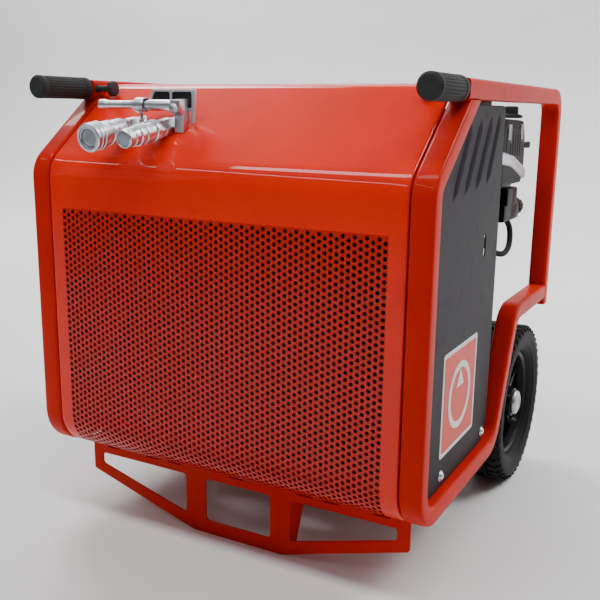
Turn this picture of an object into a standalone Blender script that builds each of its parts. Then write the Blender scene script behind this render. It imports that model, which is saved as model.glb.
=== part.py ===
"""Hydraulic power unit: a wheeled tube frame with a petrol engine, pump, cooler and oil tank.

The unit is drawn in metres with +X to the right of somebody who faces its front, +Y to its
rear and +Z up. Every size is measured from the front face of the frame tubes, and the empty
called datum moves the drawing so that the origin lies in the middle of the foot's rest face.
"""
import math

import bmesh
import bpy
from mathutils import Matrix, Vector

GAP = 0.0003                # clearance between pieces that touch
SHEET = 0.002               # gauge of the bent covers
TUBE_WIDTH = 0.030          # frame tube, measured across the unit
TUBE_DEPTH = 0.025          # frame tube, measured in the plane of its bends
FRAME_X = 0.285             # middle of each side frame

FRONT_TO_FOOT = 0.077       # tube front face to the middle of the foot's rest face
RAIL_Z = 0.6395             # middle of the top rails
RAIL_FRONT_Y = 0.1025
LEG_Y = 0.6065              # middle of the rear legs
LEG_END_Z = 0.285
LOWER_TUBE_Z = 0.1215
LINK_Z = 0.3075
SLOPE = math.radians(38.6)  # the sloping front above the horizontal
SLOPE_POINT = (0.024, 0.556)
UPRIGHT_LEAN = math.radians(25)
UPRIGHT_POINT = (0.3622, 0.208)
OUTER_BOTTOM_BEND = 0.060
OUTER_CREASE_BEND = 0.045
LINK_BEND = 0.040
RAIL_BEND = 0.028

SHROUD_HALF = 0.268
HOOD_TOP_Z = 0.647
HOOD_END_Y = 0.335

GRIP_RADIUS = 0.01575
GRIP_LENGTH = 0.0983
GRIP_FRONT_Y = 0.0024
HANDLE_RADIUS = 0.010
HANDLE_END_Y = 0.400
KNOB_Y = 0.110

FOOT_Y = 0.064
FOOT_PLATE = 0.003
FOOT_TOP_Z = 0.113
FOOT_HALF_TOP = 0.265
FOOT_HALF_REST = 0.074
FOOT_EDGE_Z = 0.057
FOOT_REST_DEPTH = 0.026

WHEEL_RADIUS = 0.133
WHEEL_Y = 0.494
WHEEL_WIDTH = 0.076
WHEEL_OUTER_X = 0.297
RIM_RADIUS = 0.088
AXLE_RADIUS = 0.010

CROSS_TUBE = 0.040
BED_Z = 0.1536
BED_PLATE = 0.004
BED_HALF = 0.205
BED_FRONT_Y = 0.076
BED_REAR_Y = 0.575

SHAFT_Z = 0.300
SHAFT_RADIUS = 0.012

COUPLING_TILT = math.radians(9)
COUPLING_REAR_Y = 0.054
FEMALE_X = -0.162
MALE_X = -0.104
FEMALE_RADIUS = 0.0190
MALE_RADIUS = 0.0140


# ---------------------------------------------------------------- tools

def clear_scene():
    """Removes whatever objects the file holds."""
    for item in list(bpy.data.objects):
        bpy.data.objects.remove(item, do_unlink=True)


def paint(name, colour, roughness, metallic=0.0):
    """Returns the named Principled material."""
    material = bpy.data.materials.new(name)
    material.use_nodes = True
    shader = material.node_tree.nodes["Principled BSDF"]
    shader.inputs["Base Color"].default_value = (*colour, 1.0)
    shader.inputs["Roughness"].default_value = roughness
    shader.inputs["Metallic"].default_value = metallic
    return material


def place(name, mesh_source, look, origin=(0, 0, 0)):
    """Makes the object of a bmesh, with its origin moved to the given point."""
    bmesh.ops.recalc_face_normals(mesh_source, faces=mesh_source.faces)
    bmesh.ops.translate(mesh_source, verts=mesh_source.verts, vec=-Vector(origin))
    mesh = bpy.data.meshes.new(name)
    mesh_source.to_mesh(mesh)
    mesh_source.free()
    mesh.materials.append(paint(name, *look))
    item = bpy.data.objects.new(name, mesh)
    item.location = origin
    item.parent = bpy.data.objects["datum"]
    bpy.context.collection.objects.link(item)
    return item


def prism_mesh(outline, axis, low, high):
    """Returns a flat outline pulled along X, Y or Z; it is given in the other two axes."""
    corner = {"X": lambda u, v: (low, u, v), "Y": lambda u, v: (u, low, v),
              "Z": lambda u, v: (u, v, low)}[axis]
    step = {"X": Vector((high - low, 0, 0)), "Y": Vector((0, high - low, 0)),
            "Z": Vector((0, 0, high - low))}[axis]
    solid = bmesh.new()
    base = solid.faces.new([solid.verts.new(corner(u, v)) for u, v in outline])
    pulled = bmesh.ops.extrude_face_region(solid, geom=[base])["geom"]
    moved = [part for part in pulled if isinstance(part, bmesh.types.BMVert)]
    bmesh.ops.translate(solid, verts=moved, vec=step)
    return solid


def prism(name, outline, axis, low, high, look, origin=(0, 0, 0)):
    """Makes a node from an outline pulled along an axis."""
    return place(name, prism_mesh(outline, axis, low, high), look, origin)


def block(name, low, high, look, origin=(0, 0, 0), edge=0.0):
    """Makes a box between two corners, with its upright edges cut by the given amount."""
    outline = chamfered(low[0], low[1], high[0], high[1], edge)
    return prism(name, outline, "Z", low[2], high[2], look, origin)


def chamfered(left, low, right, high, edge):
    """Returns a rectangle's outline with each corner cut off."""
    if not edge:
        return [(left, low), (right, low), (right, high), (left, high)]
    return [(left + edge, low), (right - edge, low), (right, low + edge), (right, high - edge),
            (right - edge, high), (left + edge, high), (left, high - edge), (left, low + edge)]


def lathe_mesh(profile, centre, axis, sides=20):
    """Returns a turned solid; the profile lists (radius, distance along the axis)."""
    solid = bmesh.new()
    hollow = profile[0][0] > 0
    rings = []
    for radius, along in profile:
        if radius == 0:
            rings.append([solid.verts.new((0, 0, along))])
            continue
        turn = [2 * math.pi * k / sides for k in range(sides)]
        rings.append([solid.verts.new((radius * math.cos(a), radius * math.sin(a), along))
                      for a in turn])
    pairs = list(zip(rings, rings[1:]))
    if hollow:
        pairs.append((rings[-1], rings[0]))
    for lower, upper in pairs:
        for k in range(sides):
            after = (k + 1) % sides
            corners = [lower[k % len(lower)], lower[after % len(lower)],
                       upper[after % len(upper)], upper[k % len(upper)]]
            solid.faces.new(list(dict.fromkeys(corners)))
    turn_to = Vector((0, 0, 1)).rotation_difference(Vector(axis)).to_matrix().to_4x4()
    bmesh.ops.transform(solid, matrix=Matrix.Translation(centre) @ turn_to, verts=solid.verts)
    return solid


def lathe(name, profile, centre, axis, look, sides=20, origin=None):
    """Makes a turned node with smooth sides; its origin is its own centre by default."""
    item = place(name, lathe_mesh(profile, centre, axis, sides), look,
                 centre if origin is None else origin)
    item.data.shade_smooth()
    item.data.set_sharp_from_angle(angle=math.radians(35))
    return item


def boolean(item, tool, operation="DIFFERENCE"):
    """Cuts a hidden tool out of a node, or joins it on."""
    tool.hide_render = True
    tool.display_type = "WIRE"
    modifier = item.modifiers.new(tool.name, "BOOLEAN")
    modifier.operation = operation
    modifier.solver = "EXACT"
    modifier.object = tool


def drill(item, centre, axis, radius, length, sides=16):
    """Cuts a round hole of the given length, centred on a point."""
    name = f"cutter_{item.name}_{len(item.modifiers)}"
    profile = [(0, -length / 2), (radius, -length / 2), (radius, length / 2), (0, length / 2)]
    boolean(item, lathe(name, profile, centre, axis, ((0, 0, 0), 1.0), sides))


def bend_path(corners, radii, steps=5):
    """Follows straight runs joined by arcs; yields points with their left-hand normals."""
    corners = [Vector(corner) for corner in corners]
    runs = [(after - before).normalized() for before, after in zip(corners, corners[1:])]
    left = [Vector((-run.y, run.x)) for run in runs]
    path = [(corners[0], left[0])]
    for index, radius in enumerate(radii):
        first, second = runs[index], runs[index + 1]
        turn = math.atan2(first.cross(second), first.dot(second))
        start = corners[index + 1] - first * radius * math.tan(abs(turn) / 2)
        side = math.copysign(radius, turn)
        centre = start + left[index] * side
        for step in range(steps + 1):
            normal = left[index].copy()
            normal.rotate(Matrix.Rotation(turn * step / steps, 2))
            path.append((centre - normal * side, normal))
    path.append((corners[-1], left[-1]))
    return path


def strip(path, depth):
    """Returns the outline of a bar or sheet of the given depth along a bent path."""
    one = [point + normal * depth / 2 for point, normal in path]
    other = [point - normal * depth / 2 for point, normal in path]
    return one + other[::-1]


def slope_point(y, offset=0.0):
    """Returns the height of a line parallel to the slope, offset outwards, at a depth y."""
    return SLOPE_POINT[1] + (y - SLOPE_POINT[0]) * math.tan(SLOPE) + offset / math.cos(SLOPE)


def upright_y(z):
    """Returns the depth of the leaning upright's middle at a height."""
    return UPRIGHT_POINT[0] + (z - UPRIGHT_POINT[1]) * math.tan(UPRIGHT_LEAN)


# ---------------------------------------------------------------- finishes

RED = ((0.50, 0.012, 0.004), 0.28)
DARK_GREY = ((0.10, 0.09, 0.10), 0.45)
BLACK = ((0.012, 0.012, 0.013), 0.5)
RUBBER = ((0.018, 0.018, 0.020), 0.7)
ZINC = ((0.62, 0.64, 0.66), 0.25, 1.0)
STEEL = ((0.35, 0.35, 0.36), 0.35, 1.0)
ALUMINIUM = ((0.50, 0.51, 0.52), 0.45, 1.0)


# ---------------------------------------------------------------- frame

def side_frame(name, side):
    """Makes the bent lower tube of one side, from the rail down and back up to the rear leg."""
    half = TUBE_DEPTH / 2
    crease_z = slope_point(half, -half)
    top_y = SLOPE_POINT[0] + (RAIL_Z - SLOPE_POINT[1]) / math.tan(SLOPE)
    corners = [(top_y, slope_point(top_y, -half)), (half, crease_z), (half, LOWER_TUBE_Z),
               (upright_y(LOWER_TUBE_Z), LOWER_TUBE_Z), (upright_y(LINK_Z), LINK_Z),
               (LEG_Y - half - GAP, LINK_Z)]
    bottom = OUTER_BOTTOM_BEND - half
    outline = strip(bend_path(corners, [OUTER_CREASE_BEND - half, bottom, bottom, LINK_BEND]),
                    TUBE_DEPTH)
    cut_z = RAIL_Z - half - GAP
    for index in (0, -1):
        drop = cut_z - outline[index].y
        outline[index] = outline[index] + Vector((drop / math.tan(SLOPE), drop))
    middle = side * FRAME_X
    prism(name, outline, "X", middle - TUBE_WIDTH / 2, middle + TUBE_WIDTH / 2, RED)


def rail(name, side):
    """Makes one top rail with its rear leg, bored from the front for the handle tube."""
    path = bend_path([(RAIL_FRONT_Y, RAIL_Z), (LEG_Y, RAIL_Z), (LEG_Y, LEG_END_Z)], [RAIL_BEND])
    middle = side * FRAME_X
    item = prism(name, strip(path, TUBE_DEPTH), "X", middle - TUBE_WIDTH / 2,
                 middle + TUBE_WIDTH / 2, RED)
    depth = 2 * (HANDLE_END_Y - RAIL_FRONT_Y + 0.002)
    drill(item, (middle, RAIL_FRONT_Y, RAIL_Z), (0, 1, 0), HANDLE_RADIUS + GAP, depth)


def handle(side_name, side):
    """Makes one pull-out handle: the inner tube, its rubber grip and the lock knob."""
    middle = side * FRAME_X
    origin = (middle, RAIL_FRONT_Y, RAIL_Z)
    front = GRIP_FRONT_Y + 0.010
    lathe(f"handle_tube_{side_name}",
          [(0, 0), (HANDLE_RADIUS, 0), (HANDLE_RADIUS, HANDLE_END_Y - front),
           (0, HANDLE_END_Y - front)],
          (middle, front, RAIL_Z), (0, 1, 0), STEEL, 16, origin)
    seat = front - GRIP_FRONT_Y - GAP
    bore = HANDLE_RADIUS + GAP
    lathe(f"grip_{side_name}",
          [(0, 0), (GRIP_RADIUS - 0.003, 0), (GRIP_RADIUS, 0.003), (GRIP_RADIUS, GRIP_LENGTH),
           (bore, GRIP_LENGTH), (bore, seat), (0, seat)],
          (middle, GRIP_FRONT_Y, RAIL_Z), (0, 1, 0), RUBBER, 24, origin)
    face = side * (FRAME_X - TUBE_WIDTH / 2 - GAP)
    lathe(f"lock_knob_{side_name}",
          [(0, 0), (0.006, 0), (0.006, 0.024), (0.011, 0.025), (0.011, 0.033), (0, 0.034)],
          (face, KNOB_Y, RAIL_Z), (-side, 0, 0), BLACK, 16)


def underframe():
    """Makes the two cross tubes, the engine bed and the axle beam."""
    reach = FRAME_X - TUBE_WIDTH / 2 - GAP
    low = BED_Z - GAP - CROSS_TUBE
    for name, y in (("front_cross_tube", BED_FRONT_Y), ("middle_cross_tube", 0.262)):
        block(name, (-reach, y, low), (reach, y + CROSS_TUBE, BED_Z - GAP), RED)
    block("engine_bed", (-BED_HALF, BED_FRONT_Y, BED_Z), (BED_HALF, BED_REAR_Y, BED_Z + BED_PLATE),
          BLACK, edge=0.02)
    beam = block("axle_beam", (-0.200, WHEEL_Y - 0.02, low), (0.200, WHEEL_Y + 0.02, BED_Z - GAP),
                 BLACK)
    drill(beam, (0, WHEEL_Y, WHEEL_RADIUS), (1, 0, 0), AXLE_RADIUS + GAP, 0.5)


def foot():
    """Makes the laser-cut front foot with its three windows, folds and gusset tabs."""
    outline = [(-FOOT_HALF_REST, 0), (FOOT_HALF_REST, 0), (FOOT_HALF_TOP, FOOT_EDGE_Z),
               (FOOT_HALF_TOP, FOOT_TOP_Z), (-FOOT_HALF_TOP, FOOT_TOP_Z),
               (-FOOT_HALF_TOP, FOOT_EDGE_Z)]
    plate = prism("front_foot", outline, "Y", FOOT_Y, FOOT_Y + FOOT_PLATE, RED)
    windows = {"middle": [(-0.053, 0.021), (0.056, 0.021), (0.056, 0.086), (-0.053, 0.086)]}
    side_window = [(0.088, 0.024), (0.247, 0.069), (0.247, 0.086), (0.088, 0.086)]
    windows["right"] = side_window
    windows["left"] = [(-x, z) for x, z in side_window]
    for name, opening in windows.items():
        cutter = prism(f"cutter_foot_{name}", opening, "Y", FOOT_Y - 0.01, FOOT_Y + 0.01, RED)
        boolean(plate, cutter)
    back = FOOT_Y + FOOT_PLATE - 0.0005
    for name, low, high, depth, half in (
            ("rest", 0, FOOT_PLATE, FOOT_REST_DEPTH, FOOT_HALF_REST),
            ("top", FOOT_TOP_Z - FOOT_PLATE, FOOT_TOP_Z, 0.055, FOOT_HALF_TOP)):
        fold = block(f"fold_foot_{name}", (-half, back, low), (half, FOOT_Y + depth, high), RED)
        boolean(plate, fold, "UNION")
    tab_low = 0.010
    tab = [(back, tab_low), (back + 0.017, tab_low),
           (FOOT_Y + 0.052, 0.086), (FOOT_Y + 0.052, FOOT_TOP_Z - FOOT_PLATE + 0.0005),
           (back, FOOT_TOP_Z - FOOT_PLATE + 0.0005)]
    for name, left in (("left", -0.0875), ("right", 0.0845)):
        gusset = prism(f"gusset_foot_{name}", tab, "X", left, left + FOOT_PLATE, RED)
        boolean(plate, gusset, "UNION")


# ---------------------------------------------------------------- covers

def front_shroud():
    """Makes the one-piece front cover, from the lower lip over the slope to the hood top."""
    sunk = SHEET                      # the sheet's middle lies this far behind the tube face
    lip_z = LOWER_TUBE_Z - TUBE_DEPTH / 2 + sunk
    top_z = HOOD_TOP_Z - SHEET / 2
    top_y = SLOPE_POINT[0] + (top_z - slope_point(SLOPE_POINT[0], -sunk)) / math.tan(SLOPE)
    corners = [(FOOT_Y - 0.002, lip_z), (sunk, lip_z), (sunk, slope_point(sunk, -sunk)),
               (top_y, top_z), (HOOD_END_Y, top_z)]
    path = bend_path(corners, [OUTER_BOTTOM_BEND - sunk, OUTER_CREASE_BEND - sunk, 0.033])
    cover = prism("front_shroud", strip(path, SHEET), "X", -SHROUD_HALF, SHROUD_HALF, RED)
    for x in (FEMALE_X, MALE_X):
        drill(cover, coupling_point(x, -0.02), coupling_axis(), 0.0135, 0.08)


def side_panel(side_name, side):
    """Makes one side panel, which fills the window of the side frame."""
    inner = -(TUBE_DEPTH + 0.0006)
    front = TUBE_DEPTH + 0.0006
    low = LOWER_TUBE_Z + TUBE_DEPTH / 2 + 0.0006
    top, rear = 0.622, 0.313
    slope_y = SLOPE_POINT[0] + (top - slope_point(SLOPE_POINT[0], inner)) / math.tan(SLOPE)
    middle = (front, (low + top) / 2)
    corners = [middle, (front, low), (rear, low), (rear, top), (slope_y, top),
               (front, slope_point(front, inner)), middle]
    path = bend_path(corners, [0.036, 0.032, 0.012, 0.004, 0.021])
    outline = [point for point, _ in path][:-1]
    inside = side * (FRAME_X - SHEET / 2)
    outside = side * (FRAME_X + SHEET / 2)
    prism(f"side_panel_{side_name}", outline, "X", inside, outside, DARK_GREY)


# ---------------------------------------------------------------- wheels

def wheel(side_name, side):
    """Makes a tyre, its rim and the hub cap."""
    centre = (side * (WHEEL_OUTER_X - WHEEL_WIDTH / 2), WHEEL_Y, WHEEL_RADIUS)
    axis = (side, 0, 0)
    half = WHEEL_WIDTH / 2
    seat = RIM_RADIUS
    lathe(f"tyre_{side_name}",
          [(seat, -0.024), (0.110, -half + 0.004), (0.124, -half), (WHEEL_RADIUS, -0.024),
           (WHEEL_RADIUS, 0.024), (0.124, half), (0.110, half - 0.004), (seat, 0.024)],
          centre, axis, RUBBER, 32)
    bore = AXLE_RADIUS + GAP
    rim = seat - 0.001
    lathe(f"rim_{side_name}",
          [(bore, -0.030), (0.024, -0.030), (0.026, -0.004), (0.074, -0.004), (0.078, -0.023),
           (rim, -0.023), (rim, 0.023), (0.078, 0.023), (0.074, 0.010), (0.026, 0.012),
           (0.024, 0.024), (bore, 0.024)],
          centre, axis, BLACK, 24)
    lathe(f"hub_cap_{side_name}",
          [(0, 0), (0.021, 0), (0.020, 0.006), (0.012, 0.009), (0, 0.010)],
          (side * (WHEEL_OUTER_X - WHEEL_WIDTH / 2 + 0.0243), WHEEL_Y, WHEEL_RADIUS), axis,
          BLACK, 20)


def axle():
    """Makes the axle, with a collar inside each wheel."""
    end = WHEEL_OUTER_X - WHEEL_WIDTH / 2 + 0.0235
    collar = 0.215
    lathe("axle",
          [(0, -end), (AXLE_RADIUS, -end), (AXLE_RADIUS, -collar - 0.012), (0.014, -collar - 0.012),
           (0.014, -collar), (AXLE_RADIUS, -collar), (AXLE_RADIUS, collar), (0.014, collar),
           (0.014, collar + 0.012), (AXLE_RADIUS, collar + 0.012), (AXLE_RADIUS, end), (0, end)],
          (0, WHEEL_Y, WHEEL_RADIUS), (1, 0, 0), STEEL, 16)


# ---------------------------------------------------------------- quick couplings and valve

def coupling_axis():
    """Returns the direction in which the couplings point: forward and a little down."""
    return Vector((0, -math.cos(COUPLING_TILT), -math.sin(COUPLING_TILT)))


def coupling_point(x, along):
    """Returns the point on a coupling's axis at a distance in front of the sloping cover."""
    foot_point = Vector((x, COUPLING_REAR_Y, slope_point(COUPLING_REAR_Y, 0.006)))
    return foot_point + coupling_axis() * along


def couplings():
    """Makes the two adapters, the female body with its sleeve, and the male nipple."""
    axis = coupling_axis()
    for name, x in (("female_adapter", FEMALE_X), ("male_adapter", MALE_X)):
        lathe(name, [(0, -0.045), (0.010, -0.045), (0.010, -0.012), (0.013, -0.012),
                     (0.013, 0.022), (0, 0.022)], coupling_point(x, 0), axis, ZINC, 12)
    start = coupling_point(FEMALE_X, 0.0223)
    lathe("female_coupling",
          [(0, 0), (0.0150, 0), (0.0150, 0.0185), (0.0140, 0.0195), (0.0140, 0.064),
           (0.0120, 0.066), (0.0120, 0.060), (0, 0.060)], start, axis, ZINC, 20)
    lathe("coupling_sleeve",
          [(0.0143, 0), (0.0165, 0), (0.0165, 0.018), (FEMALE_RADIUS, 0.020),
           (FEMALE_RADIUS, 0.040), (0.0143, 0.040)],
          coupling_point(FEMALE_X, 0.0223 + 0.0265), axis, ZINC, 24)
    lathe("male_coupling",
          [(0, 0), (0.0145, 0), (0.0145, 0.010), (0.0125, 0.011), (0.0125, 0.022),
           (MALE_RADIUS, 0.024), (MALE_RADIUS, 0.042), (0.0125, 0.043), (0.0125, 0.064),
           (0.0110, 0.066), (0, 0.066)], coupling_point(MALE_X, 0.0223), axis, ZINC, 20)


def valve_group():
    """Makes the valve block, its guard plate, the cross cylinder and the selector lever."""
    rise = 0.0003
    block_low = [(0.042, slope_point(0.042, rise)), (0.068, slope_point(0.068, rise)),
                 (0.068, 0.630), (0.042, 0.626)]
    prism("valve_block", block_low, "X", -0.0900, -0.066, BLACK)
    bar_y, bar_z = 0.0535, 0.6165
    lathe("valve_cylinder",
          [(0, 0), (0.0073, 0), (0.0073, 0.1247), (0, 0.1247)],
          (-0.215, bar_y, bar_z), (1, 0, 0), ZINC, 16)
    collar_x = -0.150
    lever = lathe("selector_lever",
                  [(0.0076, 0), (0.0100, 0), (0.0100, 0.014), (0.0076, 0.014)],
                  (collar_x, bar_y, bar_z), (1, 0, 0), ZINC, 16)
    pin = lathe("pin_selector_lever",
                [(0, 0.0085), (0.0022, 0.0085), (0.0022, 0.018), (0.0036, 0.019),
                 (0.0036, 0.024), (0, 0.0255)],
                (collar_x + 0.007, bar_y, bar_z), (0, 0, -1), ZINC, 8)
    boolean(lever, pin, "UNION")
    base = slope_point(0.0708, rise)
    guard = prism("valve_guard",
                  [(-0.150, base + 0.014), (-0.089, base + 0.014), (-0.089, base),
                   (-0.066, base), (-0.064, 0.638), (-0.136, 0.638)],
                  "Y", 0.0683, 0.0708, ZINC)
    for name, left, right in (("left", -0.137, -0.108), ("right", -0.102, -0.072)):
        window = [(left, base + 0.018), (right, base + 0.018), (right, 0.634),
                  (left + 0.004, 0.634)]
        boolean(guard, prism(f"cutter_guard_{name}", window, "Y", 0.060, 0.080, ZINC))


# ---------------------------------------------------------------- cooling and hydraulics

def cooling():
    """Makes the oil cooler, the fan shroud and the fan."""
    low, high, half = BED_Z + BED_PLATE + GAP, 0.500, 0.190
    block("oil_cooler", (-half, 0.040, low), (half, 0.082, high), BLACK)
    ring = 0.138
    plate = block("fan_shroud", (-half, 0.0826, low), (half, 0.0866, high), BLACK)
    duct = lathe("duct_fan_shroud",
                 [(ring - 0.002, 0), (ring + 0.002, 0), (ring + 0.002, 0.050),
                  (ring - 0.002, 0.050)], (0, 0.0846, SHAFT_Z + 0.008), (0, 1, 0), BLACK, 28)
    drill(plate, (0, 0.085, SHAFT_Z + 0.008), (0, 1, 0), ring - 0.001, 0.02, 28)
    boolean(plate, duct, "UNION")
    blades, hub, tip = 6, 0.035, 0.124
    outline = []
    for blade in range(blades):
        middle = 2 * math.pi * blade / blades
        for radius, turn in ((hub, -0.42), (tip, -0.24), (tip, 0.24), (hub, 0.42)):
            outline.append((radius * math.sin(middle + turn),
                            SHAFT_Z + radius * math.cos(middle + turn)))
    fan = prism("cooling_fan", outline, "Y", 0.100, 0.122, BLACK, (0, 0.111, SHAFT_Z))
    drill(fan, (0, 0.111, SHAFT_Z), (0, 1, 0), SHAFT_RADIUS + GAP, 0.05)


def drive_line():
    """Makes the shaft with its coupling, the gear pump and the bell housing."""
    coupling = 0.034
    lathe("drive_shaft",
          [(0, 0.096), (SHAFT_RADIUS, 0.096), (SHAFT_RADIUS, 0.262), (coupling, 0.262),
           (coupling, 0.318), (SHAFT_RADIUS, 0.318), (SHAFT_RADIUS, 0.480), (0, 0.480)],
          (0, 0, SHAFT_Z), (0, 1, 0), STEEL, 16)
    pump = block("gear_pump", (-0.050, 0.155, SHAFT_Z - 0.062), (0.050, 0.2475, SHAFT_Z + 0.062),
                 ALUMINIUM, edge=0.012)
    drill(pump, (0, 0.2, SHAFT_Z), (0, 1, 0), SHAFT_RADIUS + GAP, 0.2)
    wide, bore = 0.078, SHAFT_RADIUS + GAP
    lathe("bell_housing",
          [(bore, 0.248), (wide - 0.012, 0.248), (wide, 0.300), (wide, 0.329), (0.040, 0.329),
           (0.040, 0.256), (bore, 0.256)], (0, 0, SHAFT_Z), (0, 1, 0), ALUMINIUM, 20)


def oil_tank():
    """Makes the hydraulic tank, the brackets that hang it from the rails, and its cap."""
    outline = [(0.150, 0.465), (0.392, 0.490), (0.392, 0.600), (0.150, 0.600)]
    prism("hydraulic_tank", outline, "X", -0.245, 0.245, BLACK)
    for side_name, side in (("left", -1), ("right", 1)):
        near = side * (0.245 + GAP)
        far = side * (FRAME_X - TUBE_WIDTH / 2 - GAP)
        shelf = [(0.200, 0.570), (0.300, 0.570), (0.300, 0.640), (0.200, 0.640)]
        prism(f"tank_bracket_{side_name}", shelf, "X", near, far, BLACK)
    lathe("tank_cap", [(0, 0), (0.026, 0), (0.028, 0.004), (0.028, 0.018), (0, 0.020)],
          (-0.120, 0.362, 0.600 + GAP), (0, 0, 1), BLACK, 16)


def hose(name, points, radius, look):
    """Makes a hose as a smooth curve through the given points."""
    spline_points = smooth_route([Vector(point) for point in points], 2.4 * radius)
    curve = bpy.data.curves.new(name, "CURVE")
    curve.dimensions = "3D"
    curve.bevel_depth = radius
    curve.bevel_resolution = 2
    curve.use_fill_caps = True
    spline = curve.splines.new("POLY")
    spline.points.add(len(spline_points) - 1)
    for slot, point in zip(spline.points, spline_points):
        slot.co = (*point, 1.0)
    curve.materials.append(paint(name, *look))
    item = bpy.data.objects.new(name, curve)
    item.parent = bpy.data.objects["datum"]
    bpy.context.collection.objects.link(item)


def smooth_route(points, spacing):
    """Reads points about the given spacing apart from a smooth curve through the route."""
    ends = [2 * points[0] - points[1]] + points + [2 * points[-1] - points[-2]]
    route = []
    for before, start, stop, after in zip(ends, ends[1:], ends[2:], ends[3:]):
        count = max(1, round((stop - start).length / spacing))
        for step in range(count):
            t = step / count
            route.append(0.5 * (2 * start + (stop - before) * t
                                + (2 * before - 5 * start + 4 * stop - after) * t * t
                                + (3 * start - before - 3 * stop + after) * t ** 3))
    return route + [points[-1]]


def hoses():
    """Makes the pressure and return hoses behind the cover."""
    axis = coupling_axis()
    for name, x, target in (
            ("pressure_hose", FEMALE_X, [(-0.168, 0.118, 0.540), (-0.180, 0.120, 0.470),
                                         (-0.188, 0.138, 0.400), (-0.160, 0.178, 0.330),
                                         (-0.066, 0.200, 0.300), (-0.0507, 0.200, 0.300)]),
            ("return_hose", MALE_X, [(-0.098, 0.118, 0.560), (-0.090, 0.121, 0.535),
                                     (-0.085, 0.138, 0.520), (-0.085, 0.1492, 0.520)])):
        start = coupling_point(x, -0.0453)
        hose(name, [start, start - axis * 0.012, *target], 0.0085, RUBBER)


# ---------------------------------------------------------------- engine

def engine_core():
    """Makes the crankcase, the two finned cylinders and the blower housing."""
    top = BED_Z + BED_PLATE + GAP
    case = prism("crankcase",
                 [(-0.120, top), (0.120, top), (0.120, 0.330), (0.055, 0.395), (-0.055, 0.395),
                  (-0.120, 0.330)], "Y", 0.3295, 0.4805, ALUMINIUM)
    drill(case, (0, 0.405, SHAFT_Z), (0, 1, 0), SHAFT_RADIUS + GAP, 0.3)
    for name, side in (("cylinder_left", -1), ("cylinder_right", 1)):
        cylinder(name, side)
    lathe("blower_housing",
          [(0, 0.4815), (0.128, 0.4815), (0.132, 0.500), (0.128, 0.535), (0.085, 0.552),
           (0.075, 0.568), (0, 0.570)], (0, 0, SHAFT_Z), (0, 1, 0), BLACK, 28)


def cylinder(name, side):
    """Makes one finned cylinder, which leans 45 degrees outwards from the crankcase."""
    lean = math.radians(45)
    start, pitch, fins, inner, outer = 0.0658, 0.013, 6, 0.036, 0.050
    profile = []
    for fin in range(fins):
        base = start + fin * pitch
        profile += [(base, inner), (base + 0.0065, inner), (base + 0.0065, outer),
                    (base + pitch, outer)]
    end = start + fins * pitch + 0.018
    profile += [(end, outer - 0.004)]
    ring = profile + [(along, -across) for along, across in reversed(profile)]
    outline = []
    for along, across in ring:
        x = along * math.sin(lean) + across * math.cos(lean)
        z = along * math.cos(lean) - across * math.sin(lean)
        outline.append((side * (x + 0.022), 0.336 + z))
    prism(name, outline, "Y", 0.345, 0.430, ALUMINIUM)


def fuel_system():
    """Makes the fuel tank and cap, the air cleaner with its knob, and the muffler."""
    block("fuel_tank", (-0.235, 0.400, 0.484), (0.120, 0.560, 0.598), BLACK, edge=0.025)
    lathe("fuel_cap", [(0, 0), (0.028, 0), (0.030, 0.004), (0.030, 0.016), (0, 0.018)],
          (-0.150, 0.480, 0.598 + GAP), (0, 0, 1), BLACK, 16)
    shell = [(0.415, 0.500), (0.535, 0.500), (0.548, 0.530), (0.545, 0.575), (0.530, 0.601),
             (0.430, 0.604), (0.415, 0.590)]
    prism("air_cleaner", shell, "X", 0.140, 0.262, BLACK)
    lathe("air_cleaner_knob", [(0, 0), (0.017, 0), (0.019, 0.004), (0.019, 0.017), (0, 0.019)],
          (0.243, 0.505, 0.6043), (0, 0, 1), BLACK, 14)
    block("muffler", (-0.262, 0.345, 0.312), (-0.152, 0.560, 0.385), STEEL, edge=0.012)


def controls():
    """Makes the throttle lever, the oil filler cap, the key switch and the carburettor."""
    block("carburettor", (0.150, 0.4303, 0.442), (0.262, 0.535, 0.4995), ALUMINIUM, edge=0.008)
    lathe("oil_filler_cap", [(0, 0), (0.012, 0), (0.0145, 0.003), (0.0145, 0.022), (0, 0.024)],
          (0.2475, 0.5353, 0.459), (0, 1, 0), BLACK, 12)
    lever = [(0.5500, 0.556), (0.5500, 0.564), (0.584, 0.566), (0.590, 0.560), (0.584, 0.555)]
    prism("throttle_lever", lever, "X", 0.252, 0.258, BLACK, (0.255, 0.554, 0.560))
    block("key_switch_box", (0.140, 0.5500, 0.500), (0.215, 0.580, 0.545), BLACK)
    lathe("ignition_key", [(0, 0), (0.004, 0), (0.004, 0.010), (0.011, 0.012), (0.011, 0.028),
                           (0, 0.030)], (0.178, 0.5803, 0.522), (0, 1, 0), ZINC, 8)


# ---------------------------------------------------------------- assembly

def build():
    """Builds the whole unit."""
    clear_scene()
    datum = bpy.data.objects.new("datum", None)
    datum.location = (0, -FRONT_TO_FOOT, 0)
    bpy.context.collection.objects.link(datum)
    for side_name, side in (("left", -1), ("right", 1)):
        side_frame(f"side_frame_{side_name}", side)
        rail(f"rail_{side_name}", side)
        handle(side_name, side)
        side_panel(side_name, side)
        wheel(side_name, side)
    underframe()
    foot()
    front_shroud()
    axle()
    couplings()
    valve_group()
    cooling()
    drive_line()
    oil_tank()
    hoses()
    engine_core()
    fuel_system()
    controls()


build()
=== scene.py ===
"""The finished look of a wheeled hydraulic power unit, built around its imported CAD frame.

Sizes are in metres, with +X to the right of somebody who faces the unit, +Y to its rear and +Z
up. The drawing is measured from the front face of the frame tubes, and every piece is moved to
where the frame has that face when it is handed over.
"""
import logging
import math
from dataclasses import dataclass
from enum import Enum

import bmesh
import bpy
from mathutils import Matrix, Vector


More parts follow.
